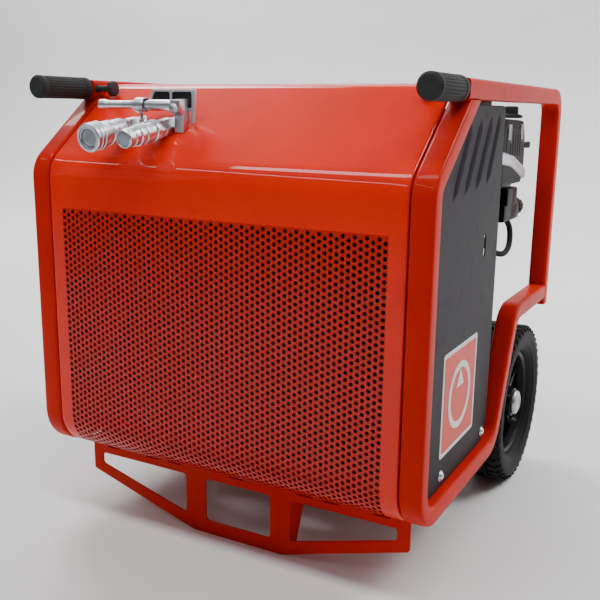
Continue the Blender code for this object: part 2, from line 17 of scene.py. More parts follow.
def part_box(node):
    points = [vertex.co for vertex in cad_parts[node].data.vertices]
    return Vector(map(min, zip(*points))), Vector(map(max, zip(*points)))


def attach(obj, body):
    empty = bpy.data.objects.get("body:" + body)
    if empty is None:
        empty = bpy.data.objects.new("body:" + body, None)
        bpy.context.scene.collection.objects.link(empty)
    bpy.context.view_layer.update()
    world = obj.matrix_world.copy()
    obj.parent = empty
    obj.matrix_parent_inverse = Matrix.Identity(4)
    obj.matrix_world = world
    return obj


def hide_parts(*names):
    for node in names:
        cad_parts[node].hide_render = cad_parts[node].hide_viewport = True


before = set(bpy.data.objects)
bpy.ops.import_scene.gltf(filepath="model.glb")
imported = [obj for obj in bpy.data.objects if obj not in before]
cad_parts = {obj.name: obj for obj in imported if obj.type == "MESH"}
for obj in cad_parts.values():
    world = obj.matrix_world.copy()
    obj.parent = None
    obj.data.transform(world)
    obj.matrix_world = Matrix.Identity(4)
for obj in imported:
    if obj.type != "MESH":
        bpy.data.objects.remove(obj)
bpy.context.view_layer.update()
FRONT_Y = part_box("side_frame_left")[0].y
LOG = logging.getLogger("power_unit")

Colour = tuple[float, float, float]
Profile = list[tuple[float, float]]
X_AXIS, Y_AXIS, Z_AXIS = Vector((1, 0, 0)), Vector((0, 1, 0)), Vector((0, 0, 1))
SIDES = (("left", -1), ("right", 1))
GAP = 0.0003  # the clearance that keeps neighbouring parts apart


# ------------------------------------------------------------------ shader maths

class Link:
    """One shader output that Python expressions can use."""

    def __init__(self, graph: "Graph", socket: bpy.types.NodeSocket) -> None:
        """Keeps the socket with the graph that it belongs to."""
        self.graph = graph
        self.socket = socket

    def maths(self, operation: str, first: "Value", second: "Value") -> "Link":
        """Adds a Math node.

        Args:
            operation: Blender's name for the operation.
            first: its first value.
            second: its second value.

        Returns:
            The node's result.
        """
        return self.graph.node("ShaderNodeMath", {"operation": operation}, {0: first, 1: second})

    def __add__(self, other: "Value") -> "Link":
        """Adds."""
        return self.maths("ADD", self, other)

    def __radd__(self, other: "Value") -> "Link":
        """Adds to a number."""
        return self.maths("ADD", other, self)

    def __sub__(self, other: "Value") -> "Link":
        """Subtracts."""
        return self.maths("SUBTRACT", self, other)

    def __rsub__(self, other: "Value") -> "Link":
        """Subtracts from a number."""
        return self.maths("SUBTRACT", other, self)

    def __mul__(self, other: "Value") -> "Link":
        """Multiplies."""
        return self.maths("MULTIPLY", self, other)

    def __rmul__(self, other: "Value") -> "Link":
        """Multiplies a number."""
        return self.maths("MULTIPLY", other, self)

    def step(self, low: float, high: float) -> "Link":
        """Turns the range from low to high into a smooth 0 to 1."""
        return self.graph.node("ShaderNodeMapRange", {"interpolation_type": "SMOOTHSTEP"},
                               {"Value": self, "From Min": low, "From Max": high})


Value = Link | float


class Graph:
    """The node tree of one material."""

    def __init__(self, name: str) -> None:
        """Starts a material with a Principled shader."""
        self.material = bpy.data.materials.new(name)
        self.material.use_nodes = True
        self.tree = self.material.node_tree
        self.shader = self.tree.nodes["Principled BSDF"]
        self.place = self.node("ShaderNodeTexCoord", {}, {}, "Object")

    def node(self, kind: str, settings: dict, values: dict, output: int | str = 0) -> Link:
        """Adds any node.

        Args:
            kind: the node's type.
            settings: its settings, which are set first.
            values: the values or links of its sockets, by name or number.
            output: the output that is wanted.

        Returns:
            That output.
        """
        made = self.tree.nodes.new(kind)
        for key, value in settings.items():
            setattr(made, key, value)
        for key, value in values.items():
            self.feed(made.inputs[key], value)
        return Link(self, made.outputs[output])

    def feed(self, socket: bpy.types.NodeSocket, value: "Value | Colour") -> None:
        """Links or sets a socket."""
        if isinstance(value, Link):
            self.tree.links.new(value.socket, socket)
        elif isinstance(value, tuple) and len(socket.default_value) == 4:
            socket.default_value = (*value, 1.0)
        else:
            socket.default_value = value

    def surface(self, name: str, value: "Value | Colour") -> None:
        """Sets or links one input of the Principled shader."""
        self.feed(self.shader.inputs[name], value)

    def noise(self, scale: float, detail: float = 3.0, stretch: Colour = (1, 1, 1)) -> Link:
        """Returns a noise from 0 to 1, with features of about 1/scale metres."""
        spread = self.node("ShaderNodeMapping", {}, {"Vector": self.place, "Scale": stretch})
        return self.node("ShaderNodeTexNoise", {}, {"Vector": spread, "Scale": scale,
                                                    "Detail": detail, "Roughness": 0.55})

    def blend(self, mask: Value, first: "Link | Colour", second: "Link | Colour") -> Link:
        """Mixes two colours by a mask."""
        return self.node("ShaderNodeMix", {"data_type": "RGBA"},
                         {0: mask, 6: first, 7: second}, 2)

    def relief(self, height: Link, depth: float) -> None:
        """Feeds a bump of the given depth in metres to the shader's normal."""
        self.surface("Normal", self.node("ShaderNodeBump", {}, {
            "Height": height, "Distance": depth, "Strength": 1.0}))


# ------------------------------------------------------------------ finishes

@dataclass(frozen=True)
class Paint:
    """Powder coat: a coloured gloss with a soft orange-peel relief and a little dust."""

    name: str
    colour: Colour
    roughness: float = 0.30
    coat: float = 0.15
    specular: float = 0.14
    peel: float = 0.00012
    dust: float = 0.03

    def material(self) -> bpy.types.Material:
        """Returns the material."""
        graph = Graph(self.name)
        cloud = graph.noise(5.0)
        grime = graph.noise(38.0, 6.0).step(0.52, 0.80)
        deep = tuple(channel * 0.82 for channel in self.colour)
        dusty = tuple(channel * 0.75 + 0.05 for channel in self.colour)
        tone = graph.blend(cloud.step(0.3, 0.7), deep, self.colour)
        tone = self.shade(graph, tone)
        graph.surface("Base Color", graph.blend(grime * self.dust, tone, dusty))
        graph.surface("Roughness", self.roughness + cloud * 0.06 + grime * 0.10)
        graph.surface("Specular IOR Level", self.specular)
        graph.surface("Coat Weight", self.coat)
        graph.surface("Coat Roughness", 0.05)
        graph.relief(graph.noise(420.0, 2.0), self.peel)
        return graph.material

    def shade(self, graph: Graph, tone: Link) -> Link:
        """Returns the coat's colour, which other paints change in places."""
        return tone


@dataclass(frozen=True)
class FieldShadePaint(Paint):
    """Powder coat with painted shade: a darker colour over the perforated field of the front face.
    """

    # The darker colour of the painted shade over the perforated field.
    field_shade: Colour = (0.50, 0.010, 0.003)
    half: float = 0.2466
    top: float = 0.476

    def shade(self, graph: Graph, tone: Link) -> Link:
        """Returns the colour with the painted shade over the field."""
        spread = graph.node("ShaderNodeSeparateXYZ", {}, {"Vector": graph.place}, "X")
        level = graph.node("ShaderNodeSeparateXYZ", {}, {"Vector": graph.place}, "Z")
        inside = self.half - spread.maths("ABSOLUTE", spread, 0.0)
        # Mask of the painted shade: inside the field's sides and below its top.
        field = inside.step(0.0, 0.001) * (self.top - level).step(0.0, 0.001)
        return graph.blend(field, tone, self.field_shade)


@dataclass(frozen=True)
class Metal:
    """Bare, plated or cast metal with fine grain, stains and a slight tint."""

    name: str
    colour: Colour
    roughness: float = 0.22
    grain: float = 900.0
    relief: float = 0.00004
    stain: float = 0.25

    def material(self) -> bpy.types.Material:
        """Returns the material."""
        graph = Graph(self.name)
        patches = graph.noise(60.0, 5.0)
        dull = tuple(channel * (1.0 - self.stain) for channel in self.colour)
        graph.surface("Base Color", graph.blend(patches.step(0.35, 0.75), self.colour, dull))
        graph.surface("Metallic", 1.0)
        graph.surface("Roughness", self.roughness + patches.step(0.4, 0.8) * 0.14)
        graph.relief(graph.noise(self.grain, 3.0), self.relief)
        return graph.material


@dataclass(frozen=True)
class Polymer:
    """Moulded plastic or rubber with a stippled skin and pale scuffs."""

    name: str
    colour: Colour
    roughness: float = 0.50
    stipple: float = 0.00010
    scuff: float = 0.20
    specular: float = 0.14

    def material(self) -> bpy.types.Material:
        """Returns the material."""
        graph = Graph(self.name)
        scuffs = graph.noise(55.0, 7.0).step(0.55, 0.78)
        worn = tuple(channel * 1.6 + 0.008 for channel in self.colour)
        graph.surface("Base Color", graph.blend(scuffs * self.scuff, self.colour, worn))
        graph.surface("Roughness", self.roughness + scuffs * 0.18)
        graph.surface("Specular IOR Level", self.specular)
        graph.relief(graph.noise(1500.0, 2.0), self.stipple)
        return graph.material


@dataclass(frozen=True)
class Core:
    """Cooler core: fine vertical fins between flat tubes, with painted highlights on the fin edges
    and painted shade between them.
    """

    name: str
    colour: Colour

    def material(self) -> bpy.types.Material:
        """Returns the material."""
        graph = Graph(self.name)
        fins = graph.node("ShaderNodeTexWave", {"bands_direction": "Z"},
                          {"Vector": graph.place, "Scale": 130.0, "Distortion": 0.6})
        # Painted highlight: lighter bands on the fin edges; the darker bands between them are
        # painted shade.
        bright = tuple(channel * 3.0 + 0.02 for channel in self.colour)
        graph.surface("Base Color", graph.blend(fins, self.colour, bright))
        graph.surface("Metallic", 0.6)
        graph.surface("Roughness", 0.45 + graph.noise(40.0) * 0.2)
        graph.relief(fins, 0.0006)
        return graph.material


class Finish(Enum):
    """Every finish on the unit."""

    FRAME_RED = Paint("frame_red", (0.60, 0.009, 0.0004), 0.42, 0.12, 0.05)
    # The cover's paint carries painted shade over its perforated front field.
    COVER_RED = FieldShadePaint("cover_red", (0.88, 0.016, 0.0002), 0.42, 0.55, 0.05)
    LABEL_RED = Paint("label_red", (0.80, 0.030, 0.004), 0.40, 0.1, 0.2, 0.00002)
    PANEL_GREY = Paint("panel_grey", (0.024, 0.020, 0.025), 0.46, 0.0, 0.08, 0.00016)
    BLACK_ENAMEL = Paint("black_enamel", (0.004, 0.004, 0.005), 0.34, 0.10, 0.10)
    GRIP = Polymer("grip_rubber", (0.003, 0.004, 0.008), 0.50, 0.00010, 0.2, 0.07)
    TYRE = Polymer("tyre_rubber", (0.007, 0.007, 0.008), 0.60, 0.00020, 0.35)
    PLASTIC = Polymer("black_plastic", (0.003, 0.003, 0.004), 0.38, 0.00010, 0.15, 0.10)
    TANK = Polymer("tank_plastic", (0.008, 0.008, 0.009), 0.50, 0.00015)
    HOSE = Polymer("hose_rubber", (0.006, 0.006, 0.007), 0.42)
    ZINC = Metal("bright_zinc", (0.72, 0.75, 0.80), 0.30)
    GUARD = Metal("brushed_zinc", (0.86, 0.86, 0.88), 0.50)
    DISC = Metal("valve_face", (0.40, 0.44, 0.48), 0.55)
    DUCT = Paint("breather_grey", (0.70, 0.73, 0.82), 0.22, 0.6, 0.4, 0.00003)
    STEEL = Metal("bright_steel", (0.50, 0.50, 0.52), 0.26)
    CAST = Metal("cast_aluminium", (0.34, 0.35, 0.36), 0.46, 700.0, 0.00018)
    CORE = Core("cooler_core", (0.008, 0.008, 0.009))
    WHITE_LABEL = Paint("white_label", (0.80, 0.80, 0.78), 0.35, 0.1, 0.25, 0.00002)

    def get(self) -> bpy.types.Material:
        """Returns the material, made on first use."""
        return bpy.data.materials.get(self.value.name) or self.value.material()


# ------------------------------------------------------------------ outlines and paths

def along(axis: Vector) -> Matrix:
    """Returns the turn that takes +Z to the given direction."""
    return Z_AXIS.rotation_difference(axis.normalized()).to_matrix().to_4x4()


def soften(points: list, radius: float, closed: bool = False, steps: int = 3) -> list[Vector]:
    """Rounds the corners of a flat outline.

    Args:
        points: the corners, in order.
        radius: the wanted radius, which short sides make smaller.
        closed: whether the outline joins up.
        steps: the straight pieces of each arc.

    Returns:
        The outline's points.
    """
    corners = [Vector(point).to_2d() for point in points]
    count = len(corners)
    result = []
    for index, corner in enumerate(corners):
        if not closed and index in (0, count - 1):
            result.append(corner)
            continue
        back = corners[index - 1] - corner
        ahead = corners[(index + 1) % count] - corner
        bend = math.pi - back.angle(ahead)
        if bend < 0.05:
            result.append(corner)
            continue
        tangent = min(radius * math.tan(bend / 2), 0.45 * back.length, 0.45 * ahead.length)
        start, stop = corner + back.normalized() * tangent, corner + ahead.normalized() * tangent
        for step in range(steps + 1):
            share = step / steps
            result.append(start.lerp(corner, share).lerp(corner.lerp(stop, share), share))
    return result


@dataclass
class BentLine:
    """A flat line of straight runs and arcs that can be read at any length along it."""

    corners: list[tuple[float, float]]
    radii: list[float]

    def __post_init__(self) -> None:
        """Works out the pieces: (length, start, direction, turn, radius)."""
        corners = [Vector(corner) for corner in self.corners]
        runs = [(b - a).normalized() for a, b in zip(corners, corners[1:])]
        self.pieces = []
        here = corners[0]
        for index, radius in enumerate(self.radii):
            turn = math.atan2(runs[index].cross(runs[index + 1]),
                              runs[index].dot(runs[index + 1]))
            start = corners[index + 1] - runs[index] * radius * math.tan(abs(turn) / 2)
            self.pieces.append(((start - here).length, here, runs[index], 0.0, 0.0))
            self.pieces.append((abs(turn) * radius, start, runs[index], turn, radius))
            here = start + (runs[index] + runs[index + 1]) * radius * math.tan(abs(turn) / 2)
        self.pieces.append(((corners[-1] - here).length, here, runs[-1], 0.0, 0.0))
        self.length = sum(piece[0] for piece in self.pieces)

    def at(self, distance: float) -> tuple[Vector, Vector]:
        """Returns the point and the direction at a length along the line."""
        for length, start, run, turn, radius in self.pieces:
            if distance <= length + 1e-9:
                break
            distance -= length
        else:
            distance += length
        if not turn:
            return start + run * distance, run
        angle = turn * distance / length
        side = math.copysign(radius, turn)
        left = Vector((-run.y, run.x))
        centre = start + left * side
        spoke = Matrix.Rotation(angle, 2) @ (-left * side)
        return centre + spoke, Matrix.Rotation(angle, 2) @ run

    def stations(self, bend_steps: int = 8) -> list[float]:
        """Returns the lengths at which a mesh needs a ring."""
        marks = [0.0]
        for length, _, _, turn, _ in self.pieces:
            steps = bend_steps if turn else 1
            marks += [marks[-1] + length * (step + 1) / steps for step in range(steps)]
        return marks


def smooth_route(points: list[Vector], count: int = 10) -> list[Vector]:
    """Returns a smooth curve through the route's points."""
    ends = [2 * points[0] - points[1]] + points + [2 * points[-1] - points[-2]]
    route = []
    for before, start, stop, after in zip(ends, ends[1:], ends[2:], ends[3:]):
        for step in range(count):
            t = step / count
            route.append(0.5 * (2 * start + (stop - before) * t
                                + (2 * before - 5 * start + 4 * stop - after) * t * t
                                + (3 * start - before - 3 * stop + after) * t ** 3))
    return route + [points[-1]]


def rounded_box(low: tuple[float, float], high: tuple[float, float], radius: float,
                steps: int = 3) -> list[Vector]:
    """Returns a rounded rectangle between two corners."""
    return soften([low, (high[0], low[1]), high, (low[0], high[1])], radius, True, steps)


def rectangle(width: float, depth: float, radius: float, steps: int = 4) -> list[Vector]:
    """Returns a rounded rectangle about the middle."""
    half, tall = width / 2, depth / 2
    return rounded_box((-half, -tall), (half, tall), radius, steps)


def circle(centre: Vector, radius: float, count: int) -> list[Vector]:
    """Returns the points of a flat circle."""
    turns = [2 * math.pi * index / count for index in range(count)]
    return [centre + radius * Vector((math.cos(turn), math.sin(turn))) for turn in turns]


def outward(side: int, near: float, far: float) -> list[float]:
    """Returns two distances from the middle plane on one side, lowest first."""
    return sorted((side * near, side * far))


# ------------------------------------------------------------------ meshes

@dataclass(frozen=True)
class Ribs:
    """Grooves along a turned solid, between two distances on its axis."""

    count: int = 0
    depth: float = 0.0
    low: float = 0.0
    high: float = 0.0

    def cut(self, angle: float, distance: float) -> float:
        """Returns how much the grooves take off the radius."""
        if not self.count or not self.low <= distance <= self.high:
            return 0.0
        return self.depth * max(0.0, math.cos(angle * self.count)) ** 2


class Shape:
    """A mesh that is put together from several solids and then handed over as one piece."""

    def __init__(self) -> None:
        """Starts empty."""
        self.mesh = bmesh.new()

    def rings(self, rings: list[list[Vector]], loop: bool = False, caps: bool = True) -> None:
        """Skins a row of rings with the same number of points.

        Args:
            rings: the points of each ring.
            loop: whether the last ring joins the first.
            caps: whether the two end rings are closed.
        """
        rows = [[self.mesh.verts.new(point) for point in ring] for ring in rings]
        pairs = list(zip(rows, rows[1:])) + ([(rows[-1], rows[0])] if loop else [])
        for lower, upper in pairs:
            for index in range(len(lower)):
                after = (index + 1) % len(lower)
                self.mesh.faces.new((lower[index], lower[after], upper[after], upper[index]))
        if caps and not loop:
            self.mesh.faces.new(rows[0][::-1])
            self.mesh.faces.new(rows[-1])

    def lathe(self, profile: Profile, centre: Vector, axis: Vector, sides: int = 40,
              soft: float = 0.0006, ribs: Ribs = Ribs()) -> "Shape":
        """Adds a turned solid.

        Args:
            profile: (radius, distance along the axis); a ring if it starts off the axis.
            centre: the point that distances are measured from.
            axis: the direction of the axis.
            sides: the flats around it.
            soft: the radius of its edges.
            ribs: the grooves along it.

        Returns:
            The shape itself.
        """
        ring_shape = profile[0][0] > 0
        points = soften(profile, soft, ring_shape)
        place = Matrix.Translation(centre) @ along(axis)
        rows = []
        for radius, distance in points:
            row = []
            reach = max(radius, 1e-6)
            for side in range(sides):
                angle = 2 * math.pi * side / sides
                width = reach - ribs.cut(angle, distance)
                row.append(place @ Vector((width * math.cos(angle), width * math.sin(angle),
                                           distance)))
            rows.append(row)
        self.rings(rows, ring_shape, True)
        return self

    def rod(self, radius: float, start: float, stop: float, centre: Vector, axis: Vector,
            sides: int = 32, soft: float = 0.0006) -> "Shape":
        """Adds a plain round bar between two distances on an axis."""
        return self.lathe([(0, start), (radius, start), (radius, stop), (0, stop)], centre, axis,
                          sides, soft)

    def solid(self, outline: list, axis: str, low: float, high: float, edge: float = 0.001,
              place: Matrix = Matrix.Identity(4)) -> "Shape":
        """Adds an outline pulled along X, Y or Z, with bevelled edges.

        Args:
            outline: the points in the other two axes.
            axis: X, Y or Z.
            low: where it starts.
            high: where it ends.
            edge: the bevel's width.
            place: a further placement.

        Returns:
            The shape itself.
        """
        swing = {"X": lambda u, v, w: (w, u, v), "Y": lambda u, v, w: (u, w, v),
                 "Z": lambda u, v, w: (u, v, w)}[axis]
        part = bmesh.new()
        rows = [[part.verts.new(place @ Vector(swing(p[0], p[1], level))) for p in outline]
                for level in (low, high)]
        for index in range(len(outline)):
            after = (index + 1) % len(outline)
            part.faces.new((rows[0][index], rows[0][after], rows[1][after], rows[1][index]))
        part.faces.new(rows[0][::-1])
        part.faces.new(rows[1])
        bmesh.ops.recalc_face_normals(part, faces=part.faces)
        if edge:
            sharp = [e for e in part.edges if e.calc_face_angle(0) > 0.6]
            bmesh.ops.bevel(part, geom=sharp, offset=edge, segments=2, profile=0.6,
                            affect="EDGES", clamp_overlap=True)
        self.absorb(part)
        return self

    def block(self, low: tuple, high: tuple, edge: float = 0.001,
              place: Matrix = Matrix.Identity(4)) -> "Shape":
        """Adds a bevelled box between two corners."""
        outline = [(low[0], low[1]), (high[0], low[1]), (high[0], high[1]), (low[0], high[1])]
        return self.solid(outline, "Z", low[2], high[2], edge, place)

    def absorb(self, part: bmesh.types.BMesh) -> None:
        """Adds another mesh to this one and frees it."""
        carried = bpy.data.meshes.new("carried")
        part.to_mesh(carried)
        part.free()
        self.mesh.from_mesh(carried)
        bpy.data.meshes.remove(carried)

    def tube(self, route: list[Vector], radius: float, sides: int = 12) -> "Shape":
        """Adds a round bar along a route."""
        rows = []
        side = None
        for index, point in enumerate(route):
            ahead = route[min(index + 1, len(route) - 1)] - route[max(index - 1, 0)]
            ahead.normalize()
            side = (side or ahead.orthogonal()) - ahead * (side or ahead.orthogonal()).dot(ahead)
            side.normalize()
            other = ahead.cross(side)
            rows.append([point + radius * (side * math.cos(2 * math.pi * k / sides)
                                           + other * math.sin(2 * math.pi * k / sides))
                         for k in range(sides)])
        self.rings(rows)
        return self

    def bar(self, line: BentLine, section: list[Vector], x: float,
            cut_start: float | None = None, bore: tuple[float, float] | None = None) -> "Shape":
        """Adds a bent tube in a plane of constant X.

        Args:
            line: its middle line in Y and Z.
            section: its section, across X and across the bend.
            x: the plane.
            cut_start: the height at which the first end is cut level, if it is.
            bore: the radius and the depth of a round bore in the first end.

        Returns:
            The shape itself.
        """
        rows = []
        for index, mark in enumerate(line.stations()):
            middle, run = line.at(mark)
            left = Vector((-run.y, run.x))
            row = []
            for across, deep in section:
                spot = middle + left * deep
                if index == 0 and cut_start is not None:
                    spot = spot + run * ((cut_start - spot.y) / run.y)
                row.append(Vector((x + across, spot.x, spot.y)))
            rows.append(row)
        if bore:
            for depth in (0.0, bore[1]):
                middle, run = line.at(depth)
                spots = [middle + Vector((-run.y, run.x)) * point.normalized().y * bore[0]
                         for point in section]
                rows.insert(0, [Vector((x + point.normalized().x * bore[0], spot.x, spot.y))
                                for point, spot in zip(section, spots)])
        self.rings(rows)
        return self

    def bead(self, route: list[Vector], radius: float) -> "Shape":
        """Adds a weld bead along a route, with the ripple of its laying."""
        dense = []
        for start, stop in zip(route, route[1:]):
            count = max(2, round((stop - start).length / 0.0011))
            dense += [start.lerp(stop, step / count) for step in range(count)]
        dense.append(route[-1])
        rows = []
        for index, point in enumerate(dense):
            ahead = (dense[min(index + 1, len(dense) - 1)] - dense[max(index - 1, 0)]).normalized()
            side = ahead.orthogonal().normalized()
            other = ahead.cross(side)
            swell = radius * (1.0 + 0.18 * math.sin(index * math.pi / 2))
            rows.append([point + swell * (side * math.cos(k * math.pi / 4)
                                          + other * math.sin(k * math.pi / 4))
                         for k in range(8)])
        self.rings(rows)
        return self

    def piece(self, name: str, body: str, finish: Finish, slot: str, *nodes: str,
              angle: float = 32.0) -> bpy.types.Object:
        """Hands the mesh over as a piece of the unit.

        Args:
            name: the piece's name.
            body: the body that it rides on.
            finish: its finish.
            slot: the record's material slot; not used.
            nodes: the CAD nodes that it stands for.
            angle: the angle in degrees above which an edge stays sharp.

        Returns:
            The object.
        """
        bmesh.ops.remove_doubles(self.mesh, verts=self.mesh.verts, dist=2e-6)
        bmesh.ops.recalc_face_normals(self.mesh, faces=self.mesh.faces)
        bmesh.ops.translate(self.mesh, verts=self.mesh.verts, vec=(0, FRONT_Y, 0))
        data = bpy.data.meshes.new(name)
        self.mesh.to_mesh(data)
        self.mesh.free()
        data.shade_smooth()
        data.set_sharp_from_angle(angle=math.radians(angle))
        data.materials.append(finish.get())
        item = bpy.data.objects.new(name, data)
        bpy.context.scene.collection.objects.link(item)
        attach(item, body)
        if nodes:
            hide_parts(*nodes)
        LOG.info("%s: %d faces", name, len(data.polygons))
        return item


def cut_plate(outer: list[Vector], holes: list[list[Vector]], thickness: float,
              place: Matrix, edge: float = 0.0005) -> bmesh.types.BMesh:
    """Makes a flat plate with holes.

    Args:
        outer: the outline.
        holes: the outline of each hole.
        thickness: the plate's gauge.
        place: where its middle plane goes.
        edge: the bevel of its edges.

    Returns:
        The plate as a mesh.
    """
    curve = bpy.data.curves.new("plate", "CURVE")
    curve.dimensions = "2D"
    curve.fill_mode = "BOTH"
    curve.extrude = thickness / 2 - edge
    curve.bevel_depth = edge
    curve.bevel_resolution = 0
    curve.offset = -edge
    for loop in [outer] + holes:
        spline = curve.splines.new("POLY")
        spline.points.add(len(loop) - 1)
        for slot, point in zip(spline.points, loop):
            slot.co = (point[0], point[1], 0.0, 1.0)
        spline.use_cyclic_u = True
    item = bpy.data.objects.new("plate", curve)
    data = item.to_mesh()
    part = bmesh.new()
    part.from_mesh(data)
    item.to_mesh_clear()
    bpy.data.objects.remove(item)
    bpy.data.curves.remove(curve)
    bmesh.ops.remove_doubles(part, verts=part.verts, dist=1e-6)
    bmesh.ops.transform(part, matrix=place, verts=part.verts)
    return part


def upright_plane(y: float) -> Matrix:
    """Returns the placement that stands a flat outline up, across the unit, at a depth."""
    return Matrix.Translation((0, y, 0)) @ Matrix.Rotation(math.pi / 2, 4, "X")


def side_plane(x: float) -> Matrix:
    """Returns the placement that puts a flat outline (y, z) in a plane of constant X."""
    return Matrix(((0, 0, 1, x), (1, 0, 0, 0), (0, 1, 0, 0), (0, 0, 0, 1)))


# ------------------------------------------------------------------ the frame

@dataclass
class Bodywork:
    """The measures that the frame and its covers share."""

    tube_width: float = 0.030
    tube_depth: float = 0.025
    frame_x: float = 0.285
    slope: float = math.radians(38.6)
    slope_y: float = 0.024
    slope_z: float = 0.556
    rail_z: float = 0.6395
    rail_front: float = 0.1025
    leg_y: float = 0.6065
    leg_end: float = 0.285
    lower_z: float = 0.1215
    link_z: float = 0.3075
    bottom_bend: float = 0.060
    crease_bend: float = 0.045
    upright_lean: float = math.radians(25)

    def slope_at(self, y: float, offset: float = 0.0) -> float:
        """Returns the height of a line parallel to the slope, offset outwards."""
        return (self.slope_z + (y - self.slope_y) * math.tan(self.slope)
                + offset / math.cos(self.slope))

    def slope_depth(self, z: float, offset: float = 0.0) -> float:
        """Returns the depth at which that line reaches a height."""
        return self.slope_y + (z - self.slope_at(self.slope_y, offset)) / math.tan(self.slope)

    def upright_at(self, z: float) -> float:
        """Returns the depth of the leaning upright's middle at a height."""
        return 0.3622 + (z - 0.208) * math.tan(self.upright_lean)


@dataclass
class TubeFrame:
    """The two bent side frames, the top rails with their rear legs, and the underframe."""

    work: Bodywork
    corner: float = 0.0055
    link_bend: float = 0.040
    rail_bend: float = 0.028
    weld: float = 0.0016
    bore_radius: float = 0.0104
    bore_depth: float = 0.3005
    cross_size: float = 0.04
    cross_z: float = 0.1333
    bed_gauge: float = 0.004

    def build(self) -> None:
        """Builds the frame."""
        for side_name, side in SIDES:
            self.side_frame(side_name, side)
            self.rail(side_name, side)
        self.underframe()

    def side_frame(self, side_name: str, side: int) -> None:
        """Builds one bent lower tube with its two weld beads."""
        work, half = self.work, self.work.tube_depth / 2
        top_y = work.slope_depth(work.rail_z, -half)
        corners = [(top_y, work.rail_z), (half, work.slope_at(half, -half)), (half, work.lower_z),
                   (work.upright_at(work.lower_z), work.lower_z),
                   (work.upright_at(work.link_z), work.link_z),
                   (work.leg_y - half - GAP, work.link_z)]
        bottom = work.bottom_bend - half
        line = BentLine(corners, [work.crease_bend - half, bottom, bottom, self.link_bend])
        x = side * work.frame_x
        shape = Shape()
        section = rectangle(work.tube_width, work.tube_depth, self.corner)
        shape.bar(line, section, x, work.rail_z - half - GAP)
        wide = work.tube_width / 2 - 0.003
        end_y = work.leg_y - half - 0.001
        loop = [Vector((x - wide, end_y, work.link_z - half)),
                Vector((x - wide, end_y, work.link_z + half)),
                Vector((x + wide, end_y, work.link_z + half)),
                Vector((x + wide, end_y, work.link_z - half))]
        shape.bead(loop + [loop[0]], self.weld)
        low = work.rail_z - half - 0.0012
        front = work.slope_depth(low, 0.0)
        back = work.slope_depth(low, -work.tube_depth)
        loop = [Vector((x - wide, front, low)), Vector((x + wide, front, low)),
                Vector((x + wide, back, low)), Vector((x - wide, back, low))]
        shape.bead(loop + [loop[0]], self.weld)
        shape.piece(f"side_frame_tube_{side_name}", "chassis", Finish.FRAME_RED, "red_paint",
                    f"side_frame_{side_name}", angle=40)

    def rail(self, side_name: str, side: int) -> None:
        """Builds one top rail with its rear leg, its front bush and its end plug."""
        work = self.work
        x = side * work.frame_x
        line = BentLine([(work.rail_front, work.rail_z), (work.leg_y, work.rail_z),
                         (work.leg_y, work.leg_end)], [self.rail_bend])
        shape = Shape()
        section = rectangle(work.tube_width, work.tube_depth, self.corner)
        shape.bar(line, section, x, bore=(self.bore_radius, self.bore_depth))
        shape.piece(f"top_rail_{side_name}", "chassis", Finish.FRAME_RED, "red_paint",
                    f"rail_{side_name}", angle=40)
        plug = Shape()
        plug.lathe([(0.0103, 0), (0.0118, 0), (0.0118, 0.0010), (0.0103, 0.0010)],
                   Vector((x, work.rail_front - 0.0012, work.rail_z)), Y_AXIS, 32, 0.0003)
        plug.solid(rectangle(work.tube_width - 0.005, work.tube_depth - 0.005, 0.003), "Z",
                   work.leg_end - 0.0002, work.leg_end + 0.004, 0.0008,
                   Matrix.Translation((x, work.leg_y, 0)))
        plug.piece(f"rail_plugs_{side_name}", "chassis", Finish.PLASTIC, "black_plastic")

    def underframe(self) -> None:
        """Builds the cross tubes, the engine bed with its ribs, and the axle beam."""
        reach = self.work.frame_x - self.work.tube_width / 2 - GAP
        for name, y in (("front_cross_tube", 0.096), ("middle_cross_tube", 0.282)):
            self.cross_tube(name, y, reach, Finish.FRAME_RED, "red_paint")
        bed = Shape()
        holes = [rounded_box((x - 0.03, y - 0.012), (x + 0.03, y + 0.012), 0.010)
                 for x in (-0.155, 0.155) for y in (0.20, 0.24, 0.54)]
        outer = rounded_box((-0.205, 0.076), (0.205, 0.575), 0.02, 6)
        bed.absorb(cut_plate(outer, holes, self.bed_gauge, Matrix.Translation((0, 0, 0.1556))))
        for x in (-0.202, 0.202):
            for start, stop in ((0.12, 0.25), (0.31, 0.47)):
                bed.block((x - self.bed_gauge / 2, start, 0.128),
                          (x + self.bed_gauge / 2, stop, 0.1536), 0.0005)
        bed.piece("engine_bed_plate", "chassis", Finish.BLACK_ENAMEL, "black_steel", "engine_bed")
        self.cross_tube("axle_beam", 0.494, 0.200, Finish.BLACK_ENAMEL, "black_steel")

    def cross_tube(self, name: str, y: float, reach: float, finish: Finish, slot: str) -> None:
        """Builds one square tube that runs across the unit.

        Args:
            name: the CAD node that it stands for.
            y: the depth of its middle.
            reach: how far it goes to each side.
            finish: its finish.
            slot: the record's material slot.
        """
        section = [(y + p.x, self.cross_z + p.y)
                   for p in rectangle(self.cross_size, self.cross_size, 0.004)]
        shape = Shape().solid(section, "X", -reach, reach, 0)
        shape.piece(f"{name}_bar", "chassis", finish, slot, name)


